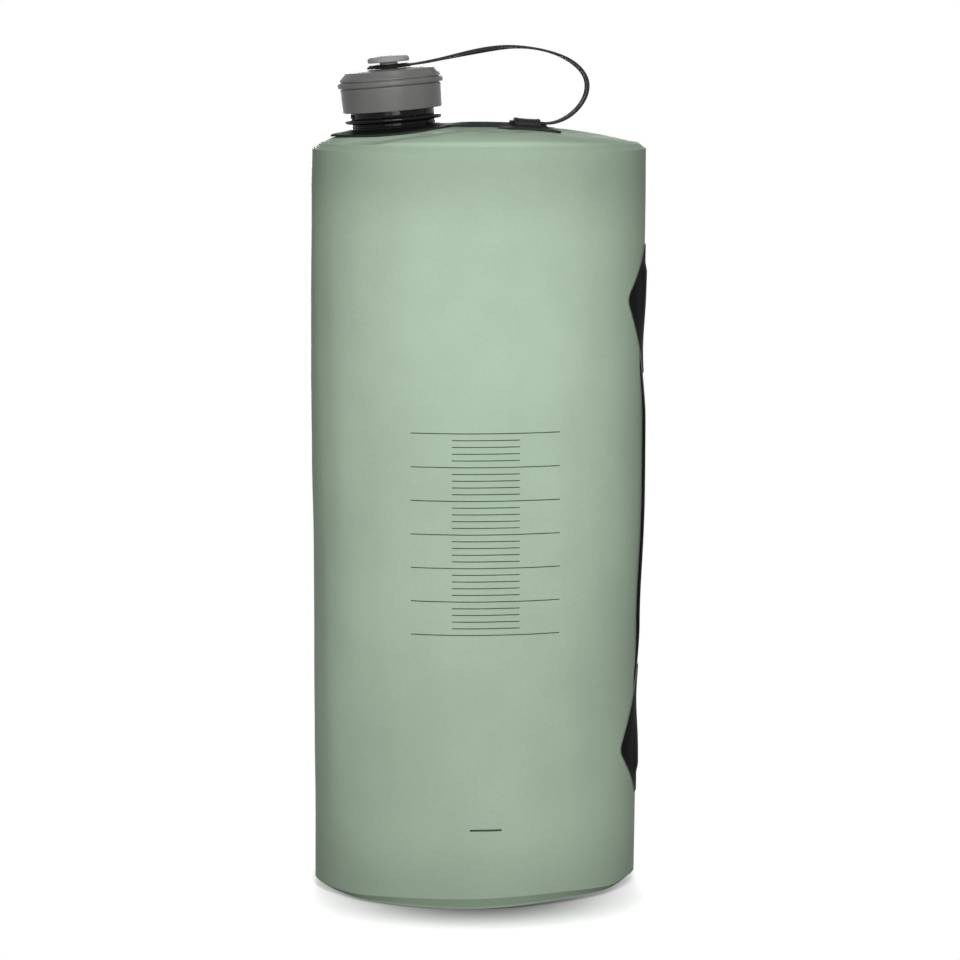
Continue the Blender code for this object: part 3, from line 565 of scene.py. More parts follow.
def cloudy_tone():
    """Colour that drifts a little over the surface."""
    tree, given = new_tree(
        "cloudy_tone", "ShaderNodeTree",
        [("Place", "Vector"), ("Scale", "Float", 20.0), ("Light Color", "Color", (1, 1, 1, 1)),
         ("Dark Color", "Color", (0, 0, 0, 1))],
        [("Color", "Color")])
    broad = noise(given["Place"], given["Scale"], 3.0, 0.55)
    speck = noise(given["Place"], given["Scale"] * 45.0, 1.0)
    share = spread(broad * 0.8 + speck * 0.2, 0.3, 0.7)
    return end_tree(tree, Color=blend_color(share, given["Dark Color"], given["Light Color"]))


def rubbed_edge():
    """Mask of the edges that hands rub."""
    tree, given = new_tree(
        "rubbed_edge", "ShaderNodeTree",
        [("Place", "Vector"), ("Reach", "Float", 0.0004), ("Amount", "Float", 0.5)], [("Mask", "Float")])
    rounded = add_node(tree, "ShaderNodeBevel", {"Radius": given["Reach"]}, samples=4)[0]
    plain = add_node(tree, "ShaderNodeNewGeometry")["Normal"]
    along = add_node(tree, "ShaderNodeVectorMath", {0: rounded, 1: plain}, operation="DOT_PRODUCT")["Value"]
    edge = spread(1.0 - along, 0.01, 0.12)
    patchy = spread(noise(given["Place"], 320.0, 4.0, 0.65), 0.38, 0.66)
    return end_tree(tree, Mask=edge * patchy * given["Amount"])


def settled_dust():
    """Mask of the light dust on faces that look up."""
    tree, given = new_tree("settled_dust", "ShaderNodeTree",
                           [("Place", "Vector"), ("Amount", "Float", 0.1)], [("Mask", "Float")])
    up = spread(parts_of(add_node(tree, "ShaderNodeNewGeometry")["Normal"])["Z"], 0.2, 0.95)
    specks = spread(noise(given["Place"], 900.0, 4.0, 0.7), 0.45, 0.75)
    return end_tree(tree, Mask=up * specks * given["Amount"])


def webbing_weave():
    """Twill of a flat webbing, in strap coordinates of metres, with a mask of its low gaps that the webbing
    darkens as painted shade.
    """
    tree, given = new_tree("webbing_weave", "ShaderNodeTree",
                           [("Place", "Vector"), ("Thread", "Float", 0.0009)],
                           [("Height", "Float"), ("Gap", "Float")])
    parts = parts_of(given["Place"])
    across = parts["X"] / given["Thread"]
    lean = across + parts["Y"] / given["Thread"] * 0.5
    warp = abs(maths("SINE", across * math.pi))
    weft = abs(maths("SINE", lean * math.pi))
    height = warp ** 0.6 * weft ** 0.5
    return end_tree(tree, Height=height, Gap=spread(height, 0.25, 0.6, 1.0, 0.0))


GRAIN = moulded_grain()
TONE = cloudy_tone()
RUBBED = rubbed_edge()
DUST = settled_dust()
WEAVE = webbing_weave()


# Materials

def start_material(name):
    """A new material and the object's coordinates in it."""
    material = bpy.data.materials.new(name)
    material.use_nodes = True
    return material, add_node(material.node_tree, "ShaderNodeTexCoord")["Object"]


def end_material(material, height, distance, strength, **values):
    """Feed the material's shader, with a height raised into its normal."""
    tree = material.node_tree
    raised = add_node(tree, "ShaderNodeBump", {"Height": height, "Distance": distance, "Strength": strength})
    for key, value in {"Normal": raised[0], **values}.items():
        feed(tree.nodes["Principled BSDF"].inputs[key.replace("_", " ")], value)
    return material


def cloudy(place, scale, light, dark):
    """Colour that drifts between a light and a dark one."""
    return use_group(TONE, place, Scale=scale, Light_Color=rgba(light), Dark_Color=rgba(dark))["Color"]


def grained(place, scale, polish, uneven):
    """Height and roughness of a moulded grain."""
    return use_group(GRAIN, place, Scale=scale, Depth=1.0, Polish=polish, Polish_Spread=uneven)


def dusted(place, amount, under, dust):
    """A colour with dust on it."""
    return blend_color(use_group(DUST, place, Amount=amount)["Mask"], under, rgba(dust))


def painted_light_by_height(place, stations):
    """Painted light and shade: a colour factor that eases from each (height, factor) station to the next."""
    height = parts_of(place)["Z"]
    total = stations[0][1]
    for (low, before), (high, after) in zip(stations, stations[1:]):
        total = spread(height, low, high, 1.0, after / before) * total
    return total


def film_material(name, light, dark, polish, index, stations):
    """Satin film with a soft cloudiness, a fine grain and a drift of dust, and painted light and shade by
    height from its stations, darker towards its welds.
    """
    material, place = start_material(name)
    # Painted light and shade: the cloudy tone scaled by the height stations
    shaded = blend_color(painted_light_by_height(place, stations), rgba((0.0, 0.0, 0.0)), cloudy(place, 14.0, light, dark))
    grain = grained(place, scale=1500.0, polish=polish, uneven=0.10)
    return end_material(material, grain["Height"], 0.00003, 0.35, Roughness=grain["Roughness"], IOR=index,
                        Base_Color=dusted(place, 0.08, shaded, (0.62, 0.64, 0.60)))


def patch_material(name, line):
    """Black welded film with a pale line of squeezed film along its cut edge."""
    material, place = start_material(name)
    rim = add_node(material.node_tree, "ShaderNodeAttribute", attribute_name="from_edge")["Fac"]
    squeezed = spread(rim, WELD_RIM * 0.10, WELD_RIM * 0.22, line, 0.0)
    pressed = spread(rim, WELD_RIM * 0.7, WELD_RIM, 0.35, 0.0)
    tone = cloudy(place, 60.0, (0.0085, 0.0086, 0.0092), (0.0055, 0.0056, 0.0062))
    edged = blend_color(pressed, tone, rgba((0.020, 0.022, 0.020)))
    lined = blend_color(squeezed, edged, rgba((0.22, 0.28, 0.21)))
    grain = grained(place, scale=1100.0, polish=0.58, uneven=0.12)
    return end_material(material, grain["Height"], 0.00005, 0.4, Roughness=grain["Roughness"], IOR=1.07,
                        Base_Color=dusted(place, 0.06, lined, (0.16, 0.17, 0.16)))


def webbing_material():
    """Black woven webbing, with painted shade in the gaps of its weave."""
    material, place = start_material("black_webbing")
    weave = use_group(WEAVE, add_node(material.node_tree, "ShaderNodeUVMap", uv_map="along_strap")[0],
                      Thread=0.0009)
    tone = cloudy(place, 90.0, (0.0165, 0.0165, 0.0165), (0.0080, 0.0080, 0.0080))
    # Painted shade: the weave's low gaps darkened towards black
    return end_material(material, weave["Height"], 0.00018, 0.8,
                        Base_Color=blend_color(weave["Gap"], tone, rgba((0.003, 0.003, 0.003))),
                        Roughness=spread(weave["Gap"], 0.0, 1.0, 0.58, 0.82),
                        Specular_IOR_Level=0.15, Sheen_Weight=0.03)


def plastic_material(name, light, dark, polish, grain_scale, grain_depth, rub, index):
    """Moulded plastic or rubber with grain, rubbed edges and dust."""
    material, place = start_material(name)
    grain = grained(place, grain_scale, polish, uneven=0.12)
    rubbed = use_group(RUBBED, place, Reach=0.0004, Amount=rub)["Mask"]
    paler = [min(1.0, 1.9 * c + 0.01) for c in light]
    worn = blend_color(rubbed, cloudy(place, 70.0, light, dark), rgba(paler))
    return end_material(material, grain["Height"], grain_depth, 0.5, IOR=index,
                        Roughness=grain["Roughness"] - rubbed * 0.1,
                        Base_Color=dusted(place, 0.12, worn, (0.30, 0.30, 0.29)))


def ink_material():
    """Printed dark green ink, thin in places."""
    material, place = start_material("green_ink")
    grain = grained(place, scale=1500.0, polish=0.5, uneven=0.1)
    return end_material(material, grain["Height"], 0.00002, 0.3, Roughness=grain["Roughness"],
                        Base_Color=cloudy(place, 300.0, (0.060, 0.092, 0.056), (0.036, 0.060, 0.034)),
                        Specular_IOR_Level=0.2)


# Surfaces that the pieces share

def smooth_step(value):
    """Ease from 0 to 1."""
    value = np.clip(value, 0.0, 1.0)
    return value * value * (3 - 2 * value)


def ease(value, start, reach):
    """Ease from 0 at a start to 1 a reach further on."""
    return smooth_step((value - start) / reach)


def ease_through(stations, value):
    """Value eased from each (place, amount) station to the next."""
    places, amounts = np.array(stations).T
    value = np.clip(value, places[0], places[-1])
    k = np.clip(np.searchsorted(places, value, side="right") - 1, 0, len(places) - 2)
    return amounts[k] + (amounts[k + 1] - amounts[k]) * ease(value, places[k], places[k + 1] - places[k])


def oval_axes(height):
    """Half width, half depth and centre of the bladder at a height."""
    share = np.minimum(height, RIM_HEIGHT) / RIM_HEIGHT
    half_width = (FOOT_WIDTH + (RIM_WIDTH - FOOT_WIDTH) * share) / 2
    half_depth = (FOOT_DEPTH + (RIM_DEPTH - FOOT_DEPTH) * share) / 2
    return half_width, half_depth, RIM_LEAN * share


def film_bulge(angles, height):
    """How far the filled film stands out at its two ends."""
    left = ease(-np.cos(angles), 0.3, 0.6)
    right = ease(np.cos(angles), 0.3, 0.6)
    return left * ease_through(LEFT_BULGE, height) + right * ease_through(RIGHT_BULGE, height)


def strap_press(distance, height):
    """How far the carry strap presses the film in, at a distance from the +X end."""
    beside = 1 - ease(np.abs(distance), STRAP_HALF_WIDTH, STRAP_DENT_FADE)
    return beside * sum(depth * np.exp(-((height - middle) / reach) ** 2)
                        for middle, reach, depth in STRAP_DENTS)


def foot_lift(share):
    """How far the foot's seam curls up off the ground, by the share of the way to either end."""
    right = sum(height * ease(share, start, reach) for height, start, reach in CURL_RIGHT)
    left = sum(height * ease(-share, start, reach) for height, start, reach in CURL_LEFT)
    return right + left


def foot_crease(angles):
    """Height of the crease above the foot's seam, which is lowest at the two ends."""
    band = FOOT_BAND_LOW + (FOOT_BAND_HEIGHT - FOOT_BAND_LOW) * np.sin(angles) ** 2
    return foot_lift(np.cos(angles)) + band


def oval_ring(angles, inset, height):
    """Points of the bladder's outline, drawn in by an inset."""
    height = np.broadcast_to(np.asarray(height, float), angles.shape)
    half_width, half_depth, centre = oval_axes(height)
    return np.stack([centre + (half_width - inset) * np.cos(angles),
                     (half_depth - inset) * np.sin(angles), height], axis=-1)


def band_ring(angles, share, depth):
    """Points a share of the way up the rim band, at a depth below its outer face."""
    side = np.sin(angles) ** 2
    rise = RIM_BAND_RISE_END + (RIM_BAND_RISE_SIDE - RIM_BAND_RISE_END) * side
    draw = RIM_BAND_DRAW_END + (RIM_BAND_DRAW_SIDE - RIM_BAND_DRAW_END) * side
    slope = np.arctan2(rise, draw)
    inset = draw * share + depth * np.sin(slope)
    return oval_ring(angles, inset, RIM_HEIGHT + rise * share - depth * np.cos(slope))


def dome_only(x, y):
    """Height of the dome before the neck flattens it."""
    end, side = band_ring(np.array([0.0, math.pi / 2]), 1, LAP)
    across = (x - RIM_LEAN) / (end[0] - RIM_LEAN)
    through = y / side[1]
    crown = RIM_HEIGHT + DOME_RISE
    return crown - (crown - end[2]) * across ** 2 - (crown - side[2]) * through ** 2


SEAT_HEIGHT = float(dome_only(NECK_CENTRE, 0.0)) - SEAT_DROP
SPOUT_FRAME = Matrix.Translation((NECK_CENTRE, 0.0, SEAT_HEIGHT)) @ Matrix.Rotation(-NECK_LEAN, 4, "Y")


def dome_swell(x, y):
    """How the filled top film departs from a plain dome: full by the rim, drooping off the patch."""
    across = ((x - RIM_LEAN) / (RIM_WIDTH / 2 - RIM_BAND_DRAW_END)) ** 2
    through = (y / (RIM_DEPTH / 2 - RIM_BAND_DRAW_SIDE)) ** 2
    full = SWELL_GAIN * (across + through) * np.clip(1 - across - through, 0, 1) * (
        np.where(x < RIM_LEAN, SWELL_LEFT, SWELL_RIGHT) * across + SWELL_SIDE * through)
    off = np.abs(y)
    by_neck = (np.exp(-((x - NECK_CENTRE) / NECK_DROOP_REACH) ** 2) * ease(off, *NECK_DROOP_IN)
               * (1 - ease(off, *NECK_DROOP_OUT)))
    along = ease(x, *ARM_DROOP_START) * (1 - ease(x, *ARM_DROOP_END))
    by_arm = along * ease(off, *ARM_DROOP_IN) * (1 - ease(off, *ARM_DROOP_OUT))
    return full - NECK_DROOP * by_neck - ARM_DROOP * by_arm


def dome_height(x, y):
    """Height of the top film: a dome with a flat seat round the neck."""
    blend = ease(np.hypot(x - NECK_CENTRE, y), SEAT_RADIUS, SEAT_BLEND)
    seat = SEAT_HEIGHT + (x - NECK_CENTRE) * math.tan(NECK_LEAN)
    return seat * (1 - blend) + (dome_only(x, y) + dome_swell(x, y)) * blend


def on_dome(x, out):
    """Point above the dome's middle line."""
    return Vector((x, 0.0, float(dome_height(x, 0.0)) + out))


def end_angle(distance, height):
    """Angle on the oval at a distance along the film from its +X end."""
    half_width, half_depth, _ = oval_axes(height)
    angle = 0.0
    for _ in range(16):
        angle += distance / 16 / math.hypot(half_width * math.sin(angle), half_depth * math.cos(angle))
    return angle


def on_wall(distance, height, out):
    """Point outside the wall film, by its distance along the film from the +X end."""
    half_width, half_depth, centre = oval_axes(height)
    angle = end_angle(distance, height)
    out += float(film_bulge(angle, height)) - float(strap_press(distance, height))
    foot = Vector((centre + half_width * math.cos(angle), half_depth * math.sin(angle), height))
    normal = Vector((half_depth * math.cos(angle), half_width * math.sin(angle), 0.0)).normalized()
    return foot + normal * out


# Mesh building

def mesh_of(bm, name):
    """A mesh from a finished bmesh."""
    mesh = bpy.data.meshes.new(name)
    bm.to_mesh(mesh)
    bm.free()
    return mesh


def smooth_piece(name, mesh, material=None):
    """A smooth-shaded object at the origin, with its sharp edges kept."""
    if material:
        mesh.materials.append(material)
    mesh.shade_smooth()
    mesh.set_sharp_from_angle(angle=SHARP_ANGLE)
    return add_object(name, mesh)


def piece_from(name, points, faces, material):
    """A piece from its points and faces, with the faces turned outwards."""
    mesh = bpy.data.meshes.new(name)
    mesh.from_pydata([tuple(p) for p in points], [], faces)
    bm = bmesh.new()
    bm.from_mesh(mesh)
    bmesh.ops.recalc_face_normals(bm, faces=bm.faces[:])
    bm.to_mesh(mesh)
    bm.free()
    return smooth_piece(name, mesh, material)


def hand_over(obj, body, node=None, squashed=False):
    """Put a finished piece on its body and the plain node that it replaces."""
    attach(obj, body)
    if squashed:
        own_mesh(obj)
    if node:
        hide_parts(node)


def closed_skin(rows):
    """Points and quads of rings joined in order, with the last joined to the first."""
    count = len(rows[0])
    total = len(rows)
    faces = []
    for j in range(total):
        here = j * count
        after = (j + 1) % total * count
        for k in range(count):
            right = (k + 1) % count
            faces.append((here + k, here + right, after + right, after + k))
    return np.concatenate(rows), faces


def capped_skin(rows):
    """Points and faces of rings joined in order, with a flat end at the first and the last."""
    points, faces = closed_skin(rows)
    count = len(rows[0])
    last = (len(rows) - 1) * count
    ends = [tuple(range(base, base + count)) for base in (0, last)]
    return points, [face for face in faces if face[0] < last] + ends


def round_corner(before, corner, after, radius, steps):
    """Points of a rounded corner, which takes less than half of each side."""
    back = before - corner
    ahead = after - corner
    half_side = 0.49 * min(back.length, ahead.length)
    back.normalize()
    ahead.normalize()
    reach = min(radius / math.tan(back.angle(ahead) / 2), half_side)
    start = corner + back * reach
    end = corner + ahead * reach
    return [start * (1 - t) ** 2 + corner * 2 * t * (1 - t) + end * t ** 2
            for t in (k / steps for k in range(steps + 1))]


def rounded_path(corners, steps, closed):
    """Points through (x, y, radius) corners, with a radius of zero and an open path's ends left sharp."""
    spots = [Vector(corner[:2]) for corner in corners]
    count = len(corners)
    points = []
    for k, (_, _, radius) in enumerate(corners):
        if radius == 0 or not (closed or 0 < k < count - 1):
            points.append(spots[k])
        else:
            points += round_corner(spots[k - 1], spots[k], spots[(k + 1) % count], radius, steps)
    return points


def put_in_order(elements, place):
    """Order a bmesh's elements by place, because spin leaves them in another order each run."""
    rank = {element: k for k, element in enumerate(sorted(elements, key=place))}
    elements.sort(key=lambda element: rank[element])
    elements.index_update()


def turned_piece(name, corners, material, hollow=True):
    """A turned form on the spout's axis, from its (radius, height, round) corners."""
    bm = bmesh.new()
    points = [bm.verts.new((p.x, 0.0, p.y)) for p in rounded_path(corners, 4, closed=False)]
    for start, end in zip(points, points[1:]):
        bm.edges.new((start, end))
    if hollow:
        bm.edges.new((points[-1], points[0]))
    bmesh.ops.spin(bm, geom=bm.verts[:] + bm.edges[:], cent=(0, 0, 0), axis=(0, 0, 1),
                   angle=2 * math.pi, steps=TURNED_SIDES, use_merge=True)
    bmesh.ops.remove_doubles(bm, verts=bm.verts[:], dist=0.000002)
    bmesh.ops.recalc_face_normals(bm, faces=bm.faces[:])
    bmesh.ops.transform(bm, matrix=SPOUT_FRAME, verts=bm.verts[:])
    put_in_order(bm.verts, lambda vert: tuple(vert.co))
    for elements in (bm.edges, bm.faces):
        put_in_order(elements, lambda element: sorted(vert.index for vert in element.verts))
    return smooth_piece(name, mesh_of(bm, name), material)


def evaluated_mesh(obj):
    """A plain mesh of an object with its modifiers applied."""
    bpy.context.view_layer.update()
    graph = bpy.context.evaluated_depsgraph_get()
    return bpy.data.meshes.new_from_object(obj.evaluated_get(graph), depsgraph=graph)


def soften_edges(obj):
    """Round an object's sharp edges a little."""
    bevel = obj.modifiers.new("soften", "BEVEL")
    bevel.width = SOFTEN_WIDTH
    bevel.segments = 2
    bevel.limit_method = "ANGLE"
    bevel.angle_limit = SOFTEN_ANGLE
    mesh = evaluated_mesh(obj)
    obj.modifiers.clear()
    obj.data = mesh
    mesh.shade_smooth()
    mesh.set_sharp_from_angle(angle=SHARP_ANGLE)


def split_long(points, step):
    """Add points along an outline's long sides."""
    result = []
    for start, end in zip(points, points[1:] + points[:1]):
        pieces = max(1, math.ceil((end - start).length / step))
        result.extend(start.lerp(end, k / pieces) for k in range(pieces))
    return result


def sheet_distances(points, loops):
    """Even-odd test of flat points, and their distance from the outlines."""
    inside = np.zeros(len(points), bool)
    nearest = np.full(len(points), 1e9)
    px, py = points[:, 0], points[:, 1]
    for loop in loops:
        ring = np.array([tuple(p) for p in loop])
        for (sx, sy), (ex, ey) in zip(ring, np.roll(ring, -1, axis=0)):
            dx, dy = ex - sx, ey - sy
            if dy != 0:
                inside ^= ((sy > py) != (ey > py)) & (px < sx + (py - sy) * dx / dy)
            t = np.clip(((px - sx) * dx + (py - sy) * dy) / max(dx * dx + dy * dy, 1e-18), 0, 1)
            nearest = np.minimum(nearest, np.hypot(px - sx - t * dx, py - sy - t * dy))
    return inside, nearest


def film_sheet(name, loops, spacing, low, high, material):
    """Film cut to flat outlines and laid between two surfaces, with its distance from the cut edge."""
    outline = np.array([tuple(p) for loop in loops for p in loop])
    edges = []
    first = 0
    for loop in loops:
        edges.extend((first + k, first + (k + 1) % len(loop)) for k in range(len(loop)))
        first += len(loop)
    span = [np.arange(math.floor(outline[:, a].min() / spacing), math.ceil(outline[:, a].max() / spacing))
            for a in (0, 1)]
    grid = np.array(np.meshgrid(*span)).reshape(2, -1).T * spacing
    inside, nearest = sheet_distances(grid, loops)
    grid = grid[inside & (nearest > spacing * 0.35)]
    flat, _, faces, *_ = delaunay_2d_cdt([Vector(p) for p in np.concatenate([outline, grid])],
                                         edges, [], 1, 1e-7)
    flat = np.array([tuple(p) for p in flat])
    centres = np.array([flat[list(face)].mean(0) for face in faces])
    kept = sheet_distances(centres, loops)[0]
    faces = [face for face, keep in zip(faces, kept) if keep]
    used = sorted(set(k for face in faces for k in face))
    place = {k: i for i, k in enumerate(used)}
    flat = flat[used]
    count = len(used)
    skin = []
    open_edges = {}
    for face in faces:
        face = [place[k] for k in face]
        skin.append(face)
        skin.append([k + count for k in reversed(face)])
        for start, end in zip(face, face[1:] + face[:1]):
            if open_edges.pop((end, start), None) is None:
                open_edges[(start, end)] = True
    skin += [(end, start, start + count, end + count) for start, end in open_edges]
    obj = piece_from(name, [high(x, y) for x, y in flat] + [low(x, y) for x, y in flat], skin, material)
    from_edge = sheet_distances(flat, loops)[1]
    attribute = obj.data.attributes.new("from_edge", "FLOAT", "POINT")
    attribute.data.foreach_set("value", np.concatenate([from_edge, from_edge]).astype(np.float32))
    return obj


# Bladder

def film_wave(angles, height):
    """How far the soft wall film stands off its plain oval."""
    half_width, half_depth, _ = oval_axes(height)
    turn = (angles + math.pi) % (2 * math.pi) - math.pi
    distance = turn * np.hypot(half_width * np.sin(turn / 2), half_depth * np.cos(turn / 2))
    off_weld = smooth_step(
        np.minimum(height - FLUTE_OFF_FOOT, RIM_HEIGHT - FLUTE_OFF_RIM - height) / FLUTE_FADE)
    flutes = sum(depth * np.sin(waves * angles + phase + climb * height)
                 for depth, waves, phase, climb in FLUTES)
    above_foot = height - foot_crease(angles)
    pucker = (np.exp(-((RIM_HEIGHT - height) / PUCKER_RIM_REACH) ** 2)
              + np.exp(-np.abs(above_foot) / PUCKER_FOOT_REACH))
    uneven = np.sin(PUCKERS_ROUND * angles + 3.0 * np.sin(9 * angles))
    near_weld = PUCKER_DEPTH * uneven * np.clip(pucker, 0, 1)
    clear = smooth_step(np.minimum(above_foot, RIM_HEIGHT - height) / PUCKER_CLEAR)
    waves = (flutes * off_weld + near_weld * clear) * ease(np.abs(turn), *WAVES_OFF_STRAP)
    return waves + film_bulge(angles, height) - strap_press(distance, height)


def wall_ring(height, inset=0.0):
    """Ring of the wall film at even or uneven heights, with its waves and bulges."""
    height = np.broadcast_to(height, ANGLES.shape)
    return oval_ring(ANGLES, inset - film_wave(ANGLES, height), height)


def build_wall(material, weld_material):
    """Wall film from the seam of the foot to the crease of the rim."""
    crease = foot_crease(ANGLES)
    start = foot_lift(np.cos(ANGLES)) + FOOT_START
    heights = np.concatenate([np.linspace(FOOT_RELAXES, 0.305, 96),
                              np.linspace(0.307, RIM_HEIGHT - 0.0006, 18), [RIM_HEIGHT]])
    inner = np.concatenate([[RIM_HEIGHT], np.linspace(0.330, FOOT_RELAXES, 40)])
    rows = [wall_ring(start + (crease - start) * share, inset) for share, inset in FOOT_SHAPE]
    rows += [wall_ring(crease + (FOOT_RELAXES - crease) * share) for share in FOOT_RELAX_SHARES]
    rows += [wall_ring(height) for height in heights]
    rows += [wall_ring(height, FILM) for height in inner]
    rows += [wall_ring(crease, FILM), wall_ring(start, FILM + FOOT_TURN)]
    wall = piece_from("bladder_film", *closed_skin(rows), material)
    wall.data.materials.append(weld_material)
    # The foot rows take the band film, whose height stations paint shade on the foot band
    for face in wall.data.polygons:
        face.material_index = int(max(face.vertices) < len(FOOT_SHAPE) * WALL_COLUMNS)
    hand_over(wall, "base", "bladder_wall", squashed=True)
    return wall


def build_rim_band(material):
    """Welded band that closes over the top, from the rim's crease to its cut edge."""
    inside = ((1.0, FILM - SMALL_GAP), (0.98, FILM), (0.5, FILM), (0.12, FILM))
    rows = [band_ring(ANGLES, share, depth) for share, depth in RIM_SHAPE + inside]
    rows.append(oval_ring(ANGLES, FILM, RIM_HEIGHT - 0.00002))
    hand_over(piece_from("rim_band", *closed_skin(rows), material), "top")


def build_floor_film(material):
    """Floor film, its turned-up edge and the pressed seam round it."""
    lift = foot_lift(np.cos(ANGLES))
    tall = (foot_crease(ANGLES) - lift) * FLOOR_EDGE_SHARE
    bulge = film_bulge(ANGLES, np.zeros(WALL_COLUMNS))
    edge = FOOT_BAND_DRAW + FILM + FLOOR_FIT
    draw = FLOOR_EDGE_DRAW

    def ring(inset, height):
        reach = 1 - ease(inset, *FLOOR_FLATTENS)
        return oval_ring(ANGLES, inset - bulge * reach, height + lift * reach)

    under = [(edge - draw, tall), (edge, 0.0006), (edge + 0.0005, 0.0), *FLOOR_SHAPE]
    over = [(inset, FILM) for inset in (*FLOOR_INSIDE, edge + draw)] + [(edge + FILM - draw, tall)]
    middle = (len(under) - 1) * WALL_COLUMNS
    points, faces = closed_skin([ring(inset, height) for inset, height in under + over])
    faces = [face for face in faces if face[0] // WALL_COLUMNS * WALL_COLUMNS != middle]
    faces.append(tuple(range(middle, middle + WALL_COLUMNS)))
    faces.append(tuple(reversed(range(middle + WALL_COLUMNS, middle + 2 * WALL_COLUMNS))))
    hand_over(piece_from("floor_film", points, faces, material), "base", "base_panel")


def top_creases(x, y):
    """Soft creases that run out from the stiff spout and patch."""
    total = np.zeros_like(x)
    for (sx, sy), (ex, ey), half, height in CREASES:
        dx, dy = ex - sx, ey - sy
        t = ((x - sx) * dx + (y - sy) * dy) / (dx * dx + dy * dy)
        away = np.hypot(x - sx - np.clip(t, 0, 1) * dx, y - sy - np.clip(t, 0, 1) * dy)
        fade = smooth_step(1.15 - np.abs(t - 0.35) / 0.8)
        total = total + height * np.exp(-(away / half) ** 2) * fade
    return total


def build_top_film(material):
    """Domed top film, creased round the spout and lapped under the rim band."""
    edge = band_ring(ANGLES, 1, LAP)
    neck = np.array([NECK_CENTRE, 0.0])
    way = edge[:, :2] - neck
    hole = neck + way / np.linalg.norm(way, axis=1)[:, None] * (NECK_RADIUS + TOP_HOLE_FIT)
    surface = []
    for j in range(1, TOP_ROWS + 1):
        share = 1 - (1 - j / TOP_ROWS) ** TOP_ROW_CROWDING
        spot = edge[:, :2] * (1 - share) + hole * share
        x, y = spot[:, 0], spot[:, 1]
        from_weld = np.hypot(*(spot - edge[:, :2]).T)
        lift = TOP_LIFT + (TOP_WELD_LIFT - TOP_LIFT) * (1 - smooth_step(from_weld / TOP_WELD_REACH))
        off_weld = ease(from_weld, *CREASE_OFF_WELD)
        off_patch = ease(np.hypot(x - NECK_CENTRE, y), *CREASE_OFF_PATCH)
        height = dome_height(x, y) + lift + top_creases(x, y) * off_weld * off_patch
        surface.append(np.stack([x, y, height], axis=-1))
    under = [row - UP * FILM for row in surface[::6] + [surface[-1]]]
    rows = [band_ring(ANGLES, TOP_LAP_SHARE, LAP - WELD_GAP), edge + UP * TOP_EDGE_LIFT, *surface,
            *under[::-1], edge - UP * (FILM - TOP_EDGE_LIFT),
            band_ring(ANGLES, TOP_LAP_SHARE, LAP - WELD_GAP + FILM)]
    hand_over(piece_from("top_film", *closed_skin(rows), material), "top", "top_panel")


# Spout

def build_spout(material):
    """Spout tube with its flange, collar and rounded lip."""
    film_low = -CAD_FILM - WELD_GAP
    foot = film_low - 0.0004 - FLANGE_THICKNESS
    collar_low = COLLAR_HEIGHT - COLLAR_THICKNESS / 2
    collar_high = COLLAR_HEIGHT + COLLAR_THICKNESS / 2
    corners = [
        (NECK_BORE, foot, 0), (FLANGE_RADIUS, foot, 0.0003),
        (FLANGE_RADIUS, foot + FLANGE_THICKNESS, 0.0004),
        (NECK_RADIUS + 0.0012, film_low + 0.0001, 0.0008), (NECK_RADIUS, 0.0012, 0.0010),
        (NECK_RADIUS, 0.0029, 0.0002), (NECK_RADIUS + NECK_BEAD, 0.0031, 0.0001),
        (NECK_RADIUS + NECK_BEAD, 0.0037, 0.0001), (NECK_RADIUS, 0.0039, 0.0002),
        (NECK_RADIUS, collar_low, 0.0004), (COLLAR_RADIUS, collar_low + 0.0002, 0.0008),
        (COLLAR_RADIUS, collar_high - 0.0002, 0.0008), (NECK_RADIUS + 0.0003, collar_high, 0.0005),
        (NECK_RADIUS, collar_high + 0.0012, 0.0006), (NECK_RADIUS, NECK_HEIGHT, 0.0006),
        (NECK_BORE, NECK_HEIGHT, 0),
    ]
    hand_over(turned_piece("spout", corners, material), "top", "neck")


def new_geometry_tree(name, inputs):
    """A geometry tree with inputs of (name, kind), and the wires of its inputs."""
    shape = ("Geometry", "Geometry")
    return new_tree(name, "GeometryNodeTree", [shape, *inputs], [shape])


def end_geometry_tree(tree, geometry, material):
    """Realize the instances, set the material and feed the tree's output."""
    real = add_node(tree, "GeometryNodeRealizeInstances", {"Geometry": geometry})[0]
    dressed = add_node(tree, "GeometryNodeSetMaterial", {"Geometry": real, "Material": material})[0]
    return end_tree(tree, Geometry=dressed)


def grow(name, data, tree, values, matrix=None):
    """Run a geometry tree on a mesh or a curve, and keep the result as a plain mesh piece."""
    host = add_object(name + "_host", data)
    modifier = host.modifiers.new("grow", "NODES")
    modifier.node_group = tree
    for item in tree.interface.items_tree:
        if item.in_out == "INPUT" and item.name in values:
            modifier[item.identifier] = values[item.name]
    host.update_tag()
    mesh = evaluated_mesh(host)
    bpy.data.objects.remove(host, do_unlink=True)
    mesh.name = name
    if matrix:
        mesh.transform(matrix)
    return smooth_piece(name, mesh)


def point_parts(tree):
    """X, Y and Z of each point that a tree works on."""
    return parts_of(add_node(tree, "GeometryNodeInputPosition")[0])


def sweep_section(tree, path, width, height, cuts, shape):
    """Sweep a rectangle along a path, after shape(x, y) has moved the points of its outline."""
    outline = add_node(tree, "GeometryNodeCurvePrimitiveQuadrilateral",
                       {"Width": width, "Height": height})[0]
    finer = add_node(tree, "GeometryNodeSubdivideCurve", {"Curve": outline, "Cuts": cuts})[0]
    parts = point_parts(tree)
    across, out = shape(parts["X"], parts["Y"])
    moved = add_node(tree, "GeometryNodeSetPosition",
                     {"Geometry": finer, "Position": join_parts(tree, X=across, Y=out)})[0]
    return add_node(tree, "GeometryNodeCurveToMesh",
                    {"Curve": path, "Profile Curve": moved, "Fill Caps": True})[0]


